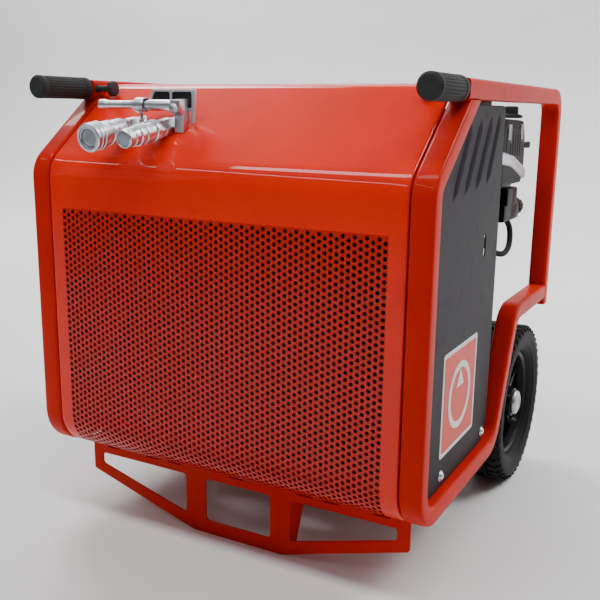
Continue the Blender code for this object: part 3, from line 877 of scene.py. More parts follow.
@dataclass
class Foot:
    """The laser-cut front foot with its windows, slots, folds and gusset tabs."""

    work: Bodywork
    y: float = 0.0655
    gauge: float = 0.003
    top: float = 0.113
    half: float = 0.265
    sole: float = 0.074
    corner: float = 0.006
    slots: tuple[float, ...] = (-0.225, -0.150, -0.110, 0.0, 0.110, 0.150, 0.225)
    gussets: tuple[float, float] = (-0.0875, 0.0845)

    def windows(self) -> list[list[Vector]]:
        """Returns the three windows and the row of slots above them."""
        side = [(0.088, 0.024), (0.247, 0.069), (0.247, 0.086), (0.088, 0.086)]
        loops = [rounded_box((-0.053, 0.021), (0.056, 0.086), self.corner),
                 soften(side, self.corner, True),
                 soften([(-x, z) for x, z in side], self.corner, True)]
        loops += [rounded_box((x - 0.012, 0.0975), (x + 0.012, 0.1005), 0.0015)
                  for x in self.slots]
        return loops

    def build(self) -> None:
        """Builds the foot."""
        shape = Shape()
        outer = soften([(-self.sole, 0.0), (self.sole, 0.0), (self.half, 0.057),
                        (self.half, self.top), (-self.half, self.top), (-self.half, 0.057)],
                       self.corner, True)
        shape.absorb(cut_plate(outer, self.windows(), self.gauge, upright_plane(self.y)))
        back = self.y + self.gauge / 2
        shape.block((-0.262, back, self.top - self.gauge), (0.262, 0.119, self.top), 0.0008)
        shape.block((-0.073, back, 0), (0.073, 0.090, self.gauge), 0.0008)
        shape.block((-0.262, back, 0.094), (0.262, back + 0.0012, 0.1035), 0.0003)
        tab = soften([(back, 0.010), (back + 0.017, 0.010), (0.116, 0.086), (0.116, 0.111),
                      (back, 0.111)], 0.005, True)
        for left in self.gussets:
            shape.solid(tab, "X", left, left + self.gauge, 0.0005)
        shape.piece("foot_plate", "chassis", Finish.FRAME_RED, "red_paint", "front_foot")


@dataclass
class FrontCover:
    """The one-piece front cover: perforated front, bent crease, slope and hood top."""

    work: Bodywork
    gauge: float = 0.002
    half: float = 0.268
    hole: float = 0.00285
    column: float = 0.0077
    row: float = 0.0089
    columns: int = 64
    field_top: float = 0.475
    hood_end: float = 0.335
    top_z: float = 0.646

    def line(self) -> BentLine:
        """Returns the sheet's middle line, from the lower lip to the rear of the hood."""
        work, sunk = self.work, self.gauge
        lip = work.lower_z - work.tube_depth / 2 + sunk
        top_y = work.slope_depth(self.top_z, -sunk)
        corners = [(0.062, lip), (sunk, lip), (sunk, work.slope_at(sunk, -sunk)),
                   (top_y, self.top_z), (self.hood_end, self.top_z)]
        return BentLine(corners, [work.bottom_bend - sunk, work.crease_bend - sunk, 0.033])

    def build(self) -> None:
        """Builds the cover as a grid whose field cells carry a round hole each."""
        line = self.line()
        edge_columns = [(self.half, 0.0024), (self.half - 0.0006, 0.0011),
                        (self.half - 0.0020, 0.0003), (self.half - 0.0050, 0.0)]
        field = [(index - self.columns / 2) * self.column for index in range(self.columns + 1)]
        across = ([(-x, sunk) for x, sunk in edge_columns] + [(x, 0.0) for x in field]
                  + [(x, sunk) for x, sunk in reversed(edge_columns)])
        first = len(edge_columns)
        last = first + self.columns
        marks, start, stop = self.marks(line)
        cover = bmesh.new()
        faces = []
        for side in (1, -1):
            grid = [[self.vertex(cover, line, x, sunk, mark, side) for x, sunk in across]
                    for mark in marks]
            faces.append(grid)
            for row in range(len(marks) - 1):
                for col in range(len(across) - 1):
                    if start <= row < stop and first <= col < last:
                        continue
                    self.quad(cover, side, grid[row][col], grid[row][col + 1],
                              grid[row + 1][col + 1], grid[row + 1][col])
        for col in range(first, last):
            shift = (col - first) % 2
            for row in range(start, stop):
                if (row - start) % 2 != shift or row + 2 > stop:
                    if row == start and shift or row == stop - 1 and (stop - start - shift) % 2:
                        for side, grid in zip((1, -1), faces):
                            self.quad(cover, side, grid[row][col], grid[row][col + 1],
                                      grid[row + 1][col + 1], grid[row + 1][col])
                    continue
                self.cell(cover, line, faces, marks, row, col,
                          (across[col][0] + across[col + 1][0]) / 2)
        self.rim(cover, faces)
        shape = Shape()
        shape.absorb(cover)
        hem = BentLine(line.corners[:3] + [tuple(line.at(line.length - 0.235)[0])],
                       line.radii[:2])
        deep = -self.gauge / 2
        section = [Vector(p) for p in ((-0.0009, deep), (0.0009, deep), (0.0009, deep - 0.012),
                                       (-0.0009, deep - 0.012))]
        for x in (-self.half + 0.0012, self.half - 0.0012):
            shape.bar(hem, section, x)
        shape.piece("perforated_front_cover", "chassis", Finish.COVER_RED, "red_cover",
                    "front_shroud", angle=50)

    def marks(self, line: BentLine) -> tuple[list[float], int, int]:
        """Returns the lengths of the grid's rows, and the first and last row of the field."""
        bend = line.pieces[1]
        low = line.pieces[0][0] + bend[0] * 0.06
        straight_start = line.pieces[0][0] + bend[0]
        high = straight_start + self.field_top - line.pieces[2][1].y
        count = int((high - low) / self.row) * 2
        field = [low + index * self.row / 2 for index in range(count + 1)]
        before = [mark for mark in line.stations(24) if mark < low - 0.001]
        after = [mark for mark in line.stations(24) if mark > field[-1] + 0.001]
        return before + field + after, len(before), len(before) + count

    def vertex(self, cover: bmesh.types.BMesh, line: BentLine, x: float, sunk: float,
               mark: float, side: int) -> bmesh.types.BMVert:
        """Adds one vertex on the outer (1) or inner (-1) face of the sheet."""
        middle, run = line.at(mark)
        spot = middle + Vector((-run.y, run.x)) * (side * self.gauge / 2 - sunk)
        return cover.verts.new((x, spot.x, spot.y))

    @staticmethod
    def quad(cover: bmesh.types.BMesh, side: int, *corners: bmesh.types.BMVert) -> None:
        """Adds one face, turned over on the inner side."""
        cover.faces.new(corners if side > 0 else corners[::-1])

    def cell(self, cover: bmesh.types.BMesh, line: BentLine, faces: list, marks: list[float],
             row: int, col: int, x: float) -> None:
        """Adds one cell of the field: a round hole in both faces, and its wall."""
        middle = marks[row + 1]
        circles = []
        for side, grid in zip((1, -1), faces):
            circle = [self.vertex(cover, line, x + self.hole * math.cos(k * math.pi / 6), 0.0,
                                  middle + self.hole * math.sin(k * math.pi / 6), side)
                      for k in range(12)]
            border = [(grid[row + 1][col + 1], 0), (grid[row + 2][col + 1], 2),
                      (grid[row + 2][col], 4), (grid[row + 1][col], 6),
                      (grid[row][col], 8), (grid[row][col + 1], 10)]
            for (start, here), (stop, there) in zip(border, border[1:] + border[:1]):
                there = there or 12
                arc = [circle[k % 12] for k in range(there, here - 1, -1)]
                self.quad(cover, side, start, stop, *arc)
            circles.append(circle)
        for k in range(12):
            after = (k + 1) % 12
            cover.faces.new((circles[0][k], circles[0][after], circles[1][after],
                             circles[1][k]))

    @staticmethod
    def rim(cover: bmesh.types.BMesh, faces: list) -> None:
        """Closes the sheet's four edges."""
        outer, inner = faces
        borders = [([row[0] for row in outer], [row[0] for row in inner]),
                   ([row[-1] for row in outer], [row[-1] for row in inner]),
                   (outer[0], inner[0]), (outer[-1], inner[-1])]
        for one, other in borders:
            for a, b, c, d in zip(one, one[1:], other[1:], other):
                cover.faces.new((a, b, c, d))


@dataclass
class Handles:
    """The pull-out handles, with ribbed grips and clamping knobs."""

    work: Bodywork
    front: float = 0.0024
    length: float = 0.0983
    radius: float = 0.01575
    rod_length: float = 0.3876

    def build(self) -> None:
        """Builds both handles and both knobs."""
        work = self.work
        for side_name, side in SIDES:
            x = side * work.frame_x
            rod = Shape().rod(0.010, 0.0, self.rod_length,
                              Vector((x, self.front + 0.010, work.rail_z)), Y_AXIS)
            rod.piece(f"handle_rod_{side_name}", f"handle_{side_name}", Finish.STEEL,
                      "bright_steel", f"handle_tube_{side_name}")
            full, waist = self.radius, self.radius - 0.0009
            profile = [(0, 0.0012), (0.0060, 0), (0.0125, 0.0002), (full, 0.0036),
                       (full, 0.0110), (waist, 0.0118), (waist, 0.0122), (full - 0.0002, 0.0124),
                       (full - 0.0002, 0.0850), (waist, 0.0856), (waist, 0.0866),
                       (full, 0.0874), (full, self.length - 0.0015), (full - 0.0015, self.length),
                       (0, self.length)]
            grip = Shape().lathe(profile, Vector((x, self.front, work.rail_z)), Y_AXIS, 120,
                                 0.0005, Ribs(24, 0.0009, 0.0123, 0.0851))
            grip.piece(f"handle_grip_{side_name}", f"handle_{side_name}", Finish.GRIP,
                       "grip_rubber", f"grip_{side_name}", angle=50)
            face = side * (work.frame_x - work.tube_width / 2 - GAP)
            centre = Vector((face, 0.110, work.rail_z))
            knob = Shape().lathe([(0, 0.0250), (0.0095, 0.0250), (0.0110, 0.0262),
                                  (0.0110, 0.0318), (0.0085, 0.0334), (0, 0.0340)], centre,
                                 Vector((-side, 0, 0)), 72, 0.0005, Ribs(9, 0.0011, 0.026, 0.033))
            knob.piece(f"lock_knob_head_{side_name}", f"lock_{side_name}", Finish.PLASTIC,
                       "black_plastic", f"lock_knob_{side_name}", angle=45)
            stem = Shape().lathe([(0, 0), (0.0060, 0), (0.0060, 0.0020), (0.0045, 0.0024),
                                  (0.0045, 0.0225), (0.0060, 0.0228), (0.0060, 0.0249),
                                  (0, 0.0249)], centre, Vector((-side, 0, 0)), 32, 0.0003)
            stem.piece(f"lock_knob_stem_{side_name}", f"lock_{side_name}", Finish.PLASTIC,
                       "black_plastic")


@dataclass
class SidePanels:
    """The louvred side panels with their bolts, and a plain label with a pump symbol."""

    work: Bodywork
    gauge: float = 0.002
    low: float = 0.1346
    top: float = 0.622
    rear: float = 0.313
    louvre_rise: float = 0.0030
    louvres: tuple[tuple[float, float, float, float], ...] = (
        (0.104, 0.510, 0.160, 0.599), (0.149, 0.514, 0.205, 0.603),
        (0.195, 0.518, 0.249, 0.606), (0.241, 0.522, 0.287, 0.609))

    def outline(self) -> list[Vector]:
        """Returns the panel's outline in Y and Z."""
        front = self.work.tube_depth + 0.0006
        middle = (front, (self.low + self.top) / 2)
        corners = [middle, (front, self.low), (self.rear, self.low), (self.rear, self.top),
                   (self.work.slope_depth(self.top, -front), self.top),
                   (front, self.work.slope_at(front, -front)), middle]
        line = BentLine(corners, [0.036, 0.032, 0.012, 0.004, 0.021])
        return [line.at(mark)[0] for mark in line.stations(6)][:-1]

    def build(self) -> None:
        """Builds both panels and what is fixed to them."""
        sight = rounded_box((0.246, 0.420), (0.254, 0.450), 0.004, 5)
        for side_name, side in SIDES:
            outside = side * (self.work.frame_x + self.gauge / 2)
            holes = [sight]
            shape = Shape()
            for y, z, end_y, end_z in self.louvres:
                start, stop = Vector((y, z)), Vector((end_y, end_z))
                ahead = (stop - start).normalized()
                across = Vector((ahead.y, -ahead.x))
                holes.append(soften([start - across * 0.0022, start + across * 0.0022,
                                     stop + across * 0.0022, stop - across * 0.0022], 0.002,
                                    True))
                self.hood(shape, start, stop, across, outside, side)
            middle = side_plane(side * self.work.frame_x)
            shape.absorb(cut_plate(self.outline(), holes, self.gauge, middle))
            shape.piece(f"louvred_panel_{side_name}", "chassis", Finish.PANEL_GREY, "grey_panel",
                        f"side_panel_{side_name}", angle=40)
            bolts = Shape()
            for y, z in ((0.108, 0.151), (0.289, 0.151)):
                bolts.lathe([(0, 0), (0.0075, 0), (0.0075, 0.0010), (0.0058, 0.0012),
                             (0.0050, 0.0030), (0.0028, 0.0042), (0, 0.0046)],
                            Vector((outside, y, z)), Vector((side, 0, 0)), 32, 0.0004)
            bolts.piece(f"panel_bolts_{side_name}", "chassis", Finish.ZINC, "zinc_plate")
            # A pale plate just behind the panel's slot, filling its upper part: a painted
            # highlight in the slot.
            slot_highlight = Shape().solid(rounded_box((0.2465, 0.430), (0.2535, 0.449), 0.003), "X",
                                  *sorted((outside - side * 0.0045, outside - side * 0.0025)),
                                  0.0003)
            slot_highlight.piece(f"latch_{side_name}", "chassis", Finish.WHITE_LABEL, "zinc_plate")
            self.label(side_name, side, outside)

    def hood(self, shape: Shape, start: Vector, stop: Vector, across: Vector, x: float,
             side: int) -> None:
        """Adds the pressed hood over one louvre."""
        rise = self.louvre_rise
        section = [(-0.0080, -0.0004), (-0.0055, 0.25 * rise), (-0.0020, 0.72 * rise),
                   (0.0012, rise), (0.0026, rise), (0.0026, rise - 0.0010),
                   (0.0010, rise - 0.0012), (-0.0030, 0.30 * rise), (-0.0055, -0.0004)]
        rows = []
        for share in (0.0, 0.03, 0.07, 0.12, 0.18, 0.82, 0.88, 0.93, 0.97, 1.0):
            swell = math.sin(min(share, 1 - share, 0.18) / 0.18 * math.pi / 2)
            middle = start.lerp(stop, share * 1.06 - 0.03)
            row = []
            for u, height in section:
                spot = middle + across * u * (0.35 + 0.65 * swell)
                row.append(Vector((x + side * max(height, -0.0004) * max(swell, 0.02),
                                   spot.x, spot.y)))
            rows.append(row)
        shape.rings(rows)

    @staticmethod
    def label(side_name: str, side: int, x: float) -> None:
        """Adds the square label: a pale border, a red field and a pump symbol."""
        middle = Vector((0.170, 0.245))
        outer, inner = rectangle(0.140, 0.140, 0.006), rectangle(0.128, 0.128, 0.003)
        shift = [[point + middle for point in loop] for loop in (outer, inner)]
        symbol, hollow = circle(middle, 0.046, 48), circle(middle, 0.037, 48)
        arrow = [middle + Vector(p) for p in ((-0.015, 0.012), (0.015, 0.012), (0, 0.036))]
        layer = 0.00035
        plates = ((Finish.WHITE_LABEL, "zinc_plate", 1, ((shift[0], []),)),
                  (Finish.LABEL_RED, "red_cover", 2, ((shift[1], []),)),
                  (Finish.WHITE_LABEL, "zinc_plate", 3, ((symbol, [hollow]), (arrow, []))))
        for number, (finish, slot, level, loops) in enumerate(plates):
            shape = Shape()
            for outline, holes in loops:
                shape.absorb(cut_plate(outline, holes, layer,
                                       side_plane(x + side * (level - 0.45) * layer), 0.00005))
            shape.piece(f"label_{side_name}_{number}", "chassis", finish, slot)


@dataclass
class Wheels:
    """The two wheels on their axle."""

    y: float = 0.494
    radius: float = 0.133
    x: float = 0.259
    seat: float = 0.088
    lugs: int = 46
    lug_skew: float = 0.30
    spokes: int = 9

    def build(self) -> None:
        """Builds the wheels and the axle."""
        for side_name, side in SIDES:
            centre = Vector((side * self.x, self.y, self.radius))
            axis = Vector((side, 0, 0))
            self.tyre(side_name, centre, axis)
            self.rim(side_name, centre, axis)
            cap = Shape().lathe([(0, 0), (0.0205, 0), (0.0205, 0.0030), (0.0190, 0.0062),
                                 (0.0125, 0.0088), (0.0080, 0.0090), (0.0070, 0.0080),
                                 (0, 0.0080)], centre + axis * 0.0243, axis, 48, 0.0008)
            cap.piece(f"hub_cover_{side_name}", f"wheel_{side_name}", Finish.STEEL,
                      "bright_steel", f"hub_cap_{side_name}")
        end, collar = self.x + 0.0235, 0.215
        shaft = Shape().rod(0.010, -end, end, Vector((0, self.y, self.radius)), X_AXIS)
        for start in (-collar - 0.012, collar):
            shaft.lathe([(0.0098, 0), (0.014, 0), (0.014, 0.012), (0.0098, 0.012)],
                        Vector((start, self.y, self.radius)), X_AXIS, 32)
        shaft.piece("wheel_axle", "chassis", Finish.STEEL, "bright_steel", "axle")

    def tyre(self, side_name: str, centre: Vector, axis: Vector) -> None:
        """Builds a tyre with shoulder blocks and two centre ribs."""
        shape = Shape()
        crown = self.radius - 0.0045
        half = [(self.seat, 0.0235), (0.0925, 0.0290), (0.1010, 0.0345), (0.1130, 0.0368),
                (0.1215, 0.0362), (0.1265, 0.0320), (crown, 0.0235)]
        profile = [(r, -d) for r, d in half] + [(crown, 0.0)] + [(r, d) for r, d in half[::-1]]
        shape.lathe(profile, centre, axis, 96, 0.004)
        for distance in (-0.0055, 0.0055):
            shape.lathe([(crown - 0.002, distance - 0.0038), (self.radius, distance - 0.0032),
                         (self.radius, distance + 0.0032), (crown - 0.002, distance + 0.0038)],
                        centre, axis, 96, 0.0008)
        for r, d in ((0.1075, 0.0352), (0.0975, 0.0318)):
            shape.lathe([(r - 0.0012, d), (r, d + 0.0012), (r + 0.0012, d)], centre, axis, 96,
                        0.0003)
        turn = Matrix.Translation(centre) @ along(axis)
        for row, distance in ((0, -0.0205), (1, 0.0205)):
            for lug in range(self.lugs):
                angle = 2 * math.pi * (lug + 0.5 * row) / self.lugs
                place = (turn @ Matrix.Rotation(angle, 4, "Z")
                         @ Matrix.Translation((0, 0, distance))
                         @ Matrix.Rotation(self.lug_skew * (1 - 2 * row), 4, "X"))
                shape.block((crown - 0.006, -0.0056, -0.0100), (self.radius - 0.0004, 0.0056,
                                                               0.0095), 0.0012, place)
                outer = (turn @ Matrix.Rotation(angle, 4, "Z")
                         @ Matrix.Translation((0.1225, 0, (0.0335 if row else -0.0335))))
                shape.block((-0.0075, -0.0034, -0.0022), (0.0048, 0.0034, 0.0022), 0.001, outer)
        shape.piece(f"tyre_tread_{side_name}", f"wheel_{side_name}", Finish.TYRE, "tyre",
                    f"tyre_{side_name}", angle=35)

    def rim(self, side_name: str, centre: Vector, axis: Vector) -> None:
        """Builds a spoked rim."""
        shape = Shape()
        bore, edge = 0.0103, self.seat - 0.001
        shape.lathe([(bore, -0.030), (0.024, -0.030), (0.026, -0.004), (0.026, 0.012),
                     (0.0235, 0.024), (bore, 0.024)], centre, axis, 48, 0.0015)
        shape.lathe([(0.0765, -0.023), (edge, -0.023), (edge, 0.0228), (0.0835, 0.0235),
                     (0.0795, 0.0205), (0.0765, 0.010)], centre, axis, 96, 0.0012)
        shape.lathe([(0.0255, -0.0040), (0.0770, -0.0040), (0.0770, -0.0015),
                     (0.0255, -0.0015)], centre, axis, 96, 0.0004)
        turn = Matrix.Translation(centre) @ along(axis)
        for spoke in range(self.spokes):
            place = turn @ Matrix.Rotation(2 * math.pi * spoke / self.spokes, 4, "Z")
            outline = [(0.022, -0.0072), (0.078, -0.0046), (0.078, 0.0046), (0.022, 0.0072)]
            shape.solid(outline, "Z", -0.0030, 0.0098, 0.0022, place)
        shape.piece(f"rim_spokes_{side_name}", f"wheel_{side_name}", Finish.BLACK_ENAMEL,
                    "black_steel", f"rim_{side_name}", angle=35)


@dataclass
class Couplings:
    """The quick couplings on the slope and their adapters, and the points that the hoses behind
    them start from.
    """

    work: Bodywork
    tilt: float = math.radians(9)
    rear_y: float = 0.054
    female_x: float = -0.162
    male_x: float = -0.104
    body_start: float = 0.0223
    sleeve_start: float = 0.0488

    @property
    def axis(self) -> Vector:
        """The direction in which the couplings point."""
        return Vector((0, -math.cos(self.tilt), -math.sin(self.tilt)))

    def point(self, x: float, distance: float) -> Vector:
        """Returns a point on a coupling's axis."""
        seat = self.work.slope_at(self.rear_y, 0.006)
        return Vector((x, self.rear_y, seat)) + self.axis * distance

    def build(self) -> None:
        """Builds the couplings."""
        axis = self.axis
        for name, x in (("female_adapter", self.female_x), ("male_adapter", self.male_x)):
            shape = Shape().rod(0.0098, -0.045, -0.0115, self.point(x, 0), axis)
            shape.lathe([(0, -0.012), (0.0128, -0.012), (0.0128, 0.008), (0.0105, 0.0095),
                         (0, 0.0095)], self.point(x, 0), axis, 6, 0.0008)
            shape.lathe([(0, 0.009), (0.0105, 0.009), (0.0105, 0.012), (0.0129, 0.0125),
                         (0.0129, 0.021), (0.0118, 0.022), (0, 0.022)], self.point(x, 0), axis,
                        6, 0.0008)
            shape.piece(f"{name}_hex", "chassis", Finish.ZINC, "zinc_plate", name, angle=25)
        self.female(axis)
        self.male(axis)

    def female(self, axis: Vector) -> None:
        """Builds the female coupling with its sliding sleeve."""
        start = self.point(self.female_x, self.body_start)
        body = Shape().lathe([(0, 0), (0.0148, 0), (0.0150, 0.0012), (0.0150, 0.0180),
                              (0.0140, 0.0190), (0.0140, 0.0640), (0.0132, 0.0660),
                              (0.0122, 0.0655), (0.0122, 0.0540), (0, 0.0540)], start, axis, 64,
                             0.0003)
        body.piece("female_body", "chassis", Finish.ZINC, "zinc_plate", "female_coupling")
        poppet = Shape().lathe([(0, 0.0560), (0.0118, 0.0560), (0.0118, 0.0638), (0.0110, 0.0646),
                                (0.0084, 0.0646), (0.0080, 0.0640), (0, 0.0640)], start, axis, 48,
                               0.0003)
        poppet.piece("female_valve_face", "chassis", Finish.DISC, "bright_steel")
        sleeve_start = self.point(self.female_x, self.sleeve_start)
        wide = 0.0190
        sleeve = Shape().lathe([(0.0143, 0), (0.0165, 0), (0.0165, 0.0040), (0.0155, 0.0046),
                                (0.0155, 0.0066), (0.0165, 0.0072), (0.0165, 0.0180),
                                (wide, 0.0200), (wide, 0.0242), (wide - 0.0010, 0.0248),
                                (wide - 0.0010, 0.0262), (wide, 0.0268), (wide, 0.0310),
                                (wide - 0.0010, 0.0316), (wide - 0.0010, 0.0330), (wide, 0.0336),
                                (wide, 0.0388), (wide - 0.0012, 0.0400), (0.0143, 0.0400)],
                               sleeve_start, axis, 96, 0.0003)
        sleeve.piece("female_sleeve", "sleeve", Finish.ZINC, "zinc_plate", "coupling_sleeve")
        side = axis.cross(X_AXIS)
        outwards = (X_AXIS * 0.55 - side * 0.83).normalized()
        ball = Shape().lathe([(0, 0), (0.0018, 0), (0.0018, 0.0008), (0, 0.0009)],
                             sleeve_start + axis * 0.0215 + outwards * 0.0182, outwards, 20,
                             0.0002)
        ball.piece("sleeve_ball", "sleeve", Finish.PLASTIC, "black_plastic")

    def male(self, axis: Vector) -> None:
        """Builds the male nipple."""
        start = self.point(self.male_x, self.body_start)
        body = Shape().lathe([(0, 0), (0.0143, 0), (0.0145, 0.0010), (0.0145, 0.0100),
                              (0.0125, 0.0110), (0.0125, 0.0220), (0.0140, 0.0240),
                              (0.0140, 0.0300), (0.0128, 0.0310), (0.0128, 0.0345),
                              (0.0140, 0.0355), (0.0140, 0.0420), (0.0125, 0.0430),
                              (0.0125, 0.0520), (0.0116, 0.0525), (0.0116, 0.0560),
                              (0.0125, 0.0565), (0.0125, 0.0640), (0.0110, 0.0660),
                              (0.0100, 0.0660), (0.0097, 0.0650), (0.0097, 0.0600), (0, 0.0600)],
                             start, axis, 64, 0.0004)
        body.piece("male_body", "chassis", Finish.ZINC, "zinc_plate", "male_coupling")
        poppet = Shape().lathe([(0, 0.0595), (0.0094, 0.0595), (0.0094, 0.0645), (0.0086, 0.0652),
                                (0, 0.0652)], start, axis, 40, 0.0003)
        poppet.piece("male_valve_face", "chassis", Finish.DISC, "bright_steel")


@dataclass
class ValveGroup:
    """The selector valve behind the couplings: block, guard, cross cylinder and lever."""

    work: Bodywork
    bar_y: float = 0.0535
    bar_z: float = 0.6165

    def build(self) -> None:
        """Builds the valve group."""
        slope = self.work.slope_at
        block = Shape().solid([(0.055, slope(0.055, GAP)), (0.068, slope(0.068, GAP)),
                               (0.068, 0.6255), (0.046, 0.6235), (0.0445, 0.6080),
                               (0.055, 0.6040)], "X", -0.0900, -0.0745, 0.0015)
        block.piece("valve_body", "chassis", Finish.ZINC, "black_steel", "valve_block")
        fitting = Shape().lathe([(0, 0), (0.0060, 0), (0.0060, 0.0040), (0.0040, 0.0046),
                                 (0.0040, 0.0060), (0, 0.0060)], Vector((-0.0822, 0.0452, 0.6130)),
                                -Y_AXIS, 6, 0.0006)
        fitting.piece("valve_plug", "chassis", Finish.ZINC, "zinc_plate", angle=25)
        rod = Shape().lathe([(0, 0), (0.0064, 0), (0.0073, 0.0010), (0.0073, 0.0110),
                             (0.0058, 0.0116), (0.0058, 0.0600), (0.0073, 0.0606),
                             (0.0073, 0.0640), (0.0058, 0.0650), (0.0058, 0.0860),
                             (0.0073, 0.0866), (0.0073, 0.1247), (0, 0.1247)],
                            Vector((-0.215, self.bar_y, self.bar_z)), X_AXIS, 40, 0.0004)
        rod.piece("selector_rod", "chassis", Finish.ZINC, "zinc_plate", "valve_cylinder")
        lever = Shape().lathe([(0.0076, 0), (0.0094, 0), (0.0100, 0.0008), (0.0100, 0.0132),
                               (0.0094, 0.014), (0.0076, 0.014)],
                              Vector((-0.150, self.bar_y, self.bar_z)), X_AXIS, 40, 0.0003)
        pin_top = Vector((-0.143, self.bar_y, self.bar_z))
        lever.lathe([(0, 0.0088), (0.0022, 0.0088), (0.0022, 0.0178), (0.0030, 0.0182),
                     (0.0036, 0.0205), (0.0032, 0.0240), (0.0018, 0.0253), (0, 0.0255)],
                    pin_top, -Z_AXIS, 24, 0.0004)
        lever.piece("selector_handle", "selector", Finish.ZINC, "zinc_plate", "selector_lever")
        self.guard()

    def guard(self) -> None:
        """Builds the folded guard plate with its two windows."""
        base = self.work.slope_at(0.0708, GAP)
        low = base + 0.0155
        outer = soften([(-0.150, low), (-0.0725, low), (-0.0725, base), (-0.0665, base),
                        (-0.064, 0.638), (-0.136, 0.638)], 0.003, True)
        windows = [soften([(left, low + 0.004), (right, low + 0.004), (right, 0.6345),
                           (left + lean, 0.6345)], 0.003, True)
                   for left, right, lean in ((-0.141, -0.107, 0.008), (-0.103, -0.071, 0.0))]
        plate = Shape()
        plate.absorb(cut_plate(outer, windows, 0.0025, upright_plane(0.06955)))
        back = Shape()
        back.absorb(cut_plate(soften([(-0.147, low + 0.001), (-0.067, low + 0.001),
                                      (-0.0665, 0.637), (-0.136, 0.637)], 0.003, True), [],
                              0.0010, upright_plane(0.0716), 0.0002))
        back.piece("guard_backing", "chassis", Finish.PLASTIC, "black_plastic")
        plate.piece("guard_plate", "chassis", Finish.GUARD, "zinc_plate", "valve_guard")


@dataclass
class Cooling:
    """The oil cooler, the fan shroud and the fan."""

    low: float = 0.1579
    high: float = 0.500
    half: float = 0.190
    baffle_half: float = 0.264
    centre_z: float = 0.300
    ring: float = 0.138
    blades: int = 8

    def build(self) -> None:
        """Builds the cooling group."""
        core = Shape().block((-self.half + 0.022, 0.0435, self.low + 0.004),
                             (self.half - 0.022, 0.0785, self.high - 0.004), 0.001)
        core.piece("cooler_fins", "chassis", Finish.CORE, "cooler_core", "oil_cooler")
        tanks = Shape()
        for side in (-1, 1):
            inner, outer = outward(side, self.half - 0.022, self.half)
            tanks.block((inner, 0.040, self.low), (outer, 0.082, self.high), 0.004)
        for z in (self.low, self.high - 0.004):
            tanks.block((-self.half + 0.02, 0.041, z), (self.half - 0.02, 0.081, z + 0.004),
                        0.0008)
        tanks.piece("cooler_tanks", "chassis", Finish.BLACK_ENAMEL, "cooler_core")
        baffle = Shape()
        for side in (-1, 1):
            near, far = outward(side, self.half, self.baffle_half)
            baffle.block((near, 0.0405, self.low), (far, 0.0425, self.high), 0.0006)
            near, far = outward(side, self.baffle_half - 0.002, self.baffle_half)
            baffle.block((near, 0.030, self.low), (far, 0.0420, self.high), 0.0006)
        baffle.block((-self.baffle_half, 0.0405, self.high), (self.baffle_half, 0.0425, 0.545),
                     0.0006)
        baffle.piece("air_baffle", "chassis", Finish.PLASTIC, "black_plastic")
        ring, ring_z = self.ring, self.centre_z + 0.008
        hole = circle(Vector((0.0, ring_z)), ring - 0.001, 80)
        outer = rounded_box((-self.half, self.low), (self.half, self.high), 0.008)
        shroud = Shape()
        shroud.absorb(cut_plate(outer, [hole], 0.004, upright_plane(0.0846)))
        shroud.lathe([(ring - 0.002, 0), (ring + 0.002, 0), (ring + 0.002, 0.048),
                      (ring + 0.001, 0.050), (ring - 0.002, 0.050)],
                     Vector((0, 0.0846, ring_z)), Y_AXIS, 96)
        shroud.piece("fan_cowl", "chassis", Finish.PLASTIC, "black_plastic", "fan_shroud")
        self.fan()

    def fan(self) -> None:
        """Builds a fan with pitched, swept blades."""
        shape = Shape().lathe([(0.0123, 0.100), (0.034, 0.101), (0.036, 0.104), (0.036, 0.120),
                               (0.0123, 0.122)], Vector((0, 0, self.centre_z)), Y_AXIS, 64,
                              0.001)
        for blade in range(self.blades):
            turn = Matrix.Rotation(2 * math.pi * blade / self.blades, 4, "Y")
            rows = []
            for step in range(7):
                share = step / 6
                radius = 0.033 + 0.090 * share
                chord = 0.020 + 0.016 * share
                pitch = math.radians(34 - 16 * share)
                sweep = 0.010 * share * share
                row = []
                for u, v in ((-1, 0), (-0.5, 0.05), (0.3, 0.05), (1, 0), (0.3, -0.03),
                             (-0.5, -0.03)):
                    across = u * chord * math.cos(pitch) + sweep
                    deep = u * min(chord * math.sin(pitch), 0.0095) + v * 0.030
                    row.append(Vector((0, 0, self.centre_z))
                               + turn @ Vector((across, 0.111 + deep, radius)))
                rows.append(row)
            shape.rings(rows)
        shape.piece("fan_blades", "drive_line", Finish.PLASTIC, "black_plastic", "cooling_fan",
                    angle=60)


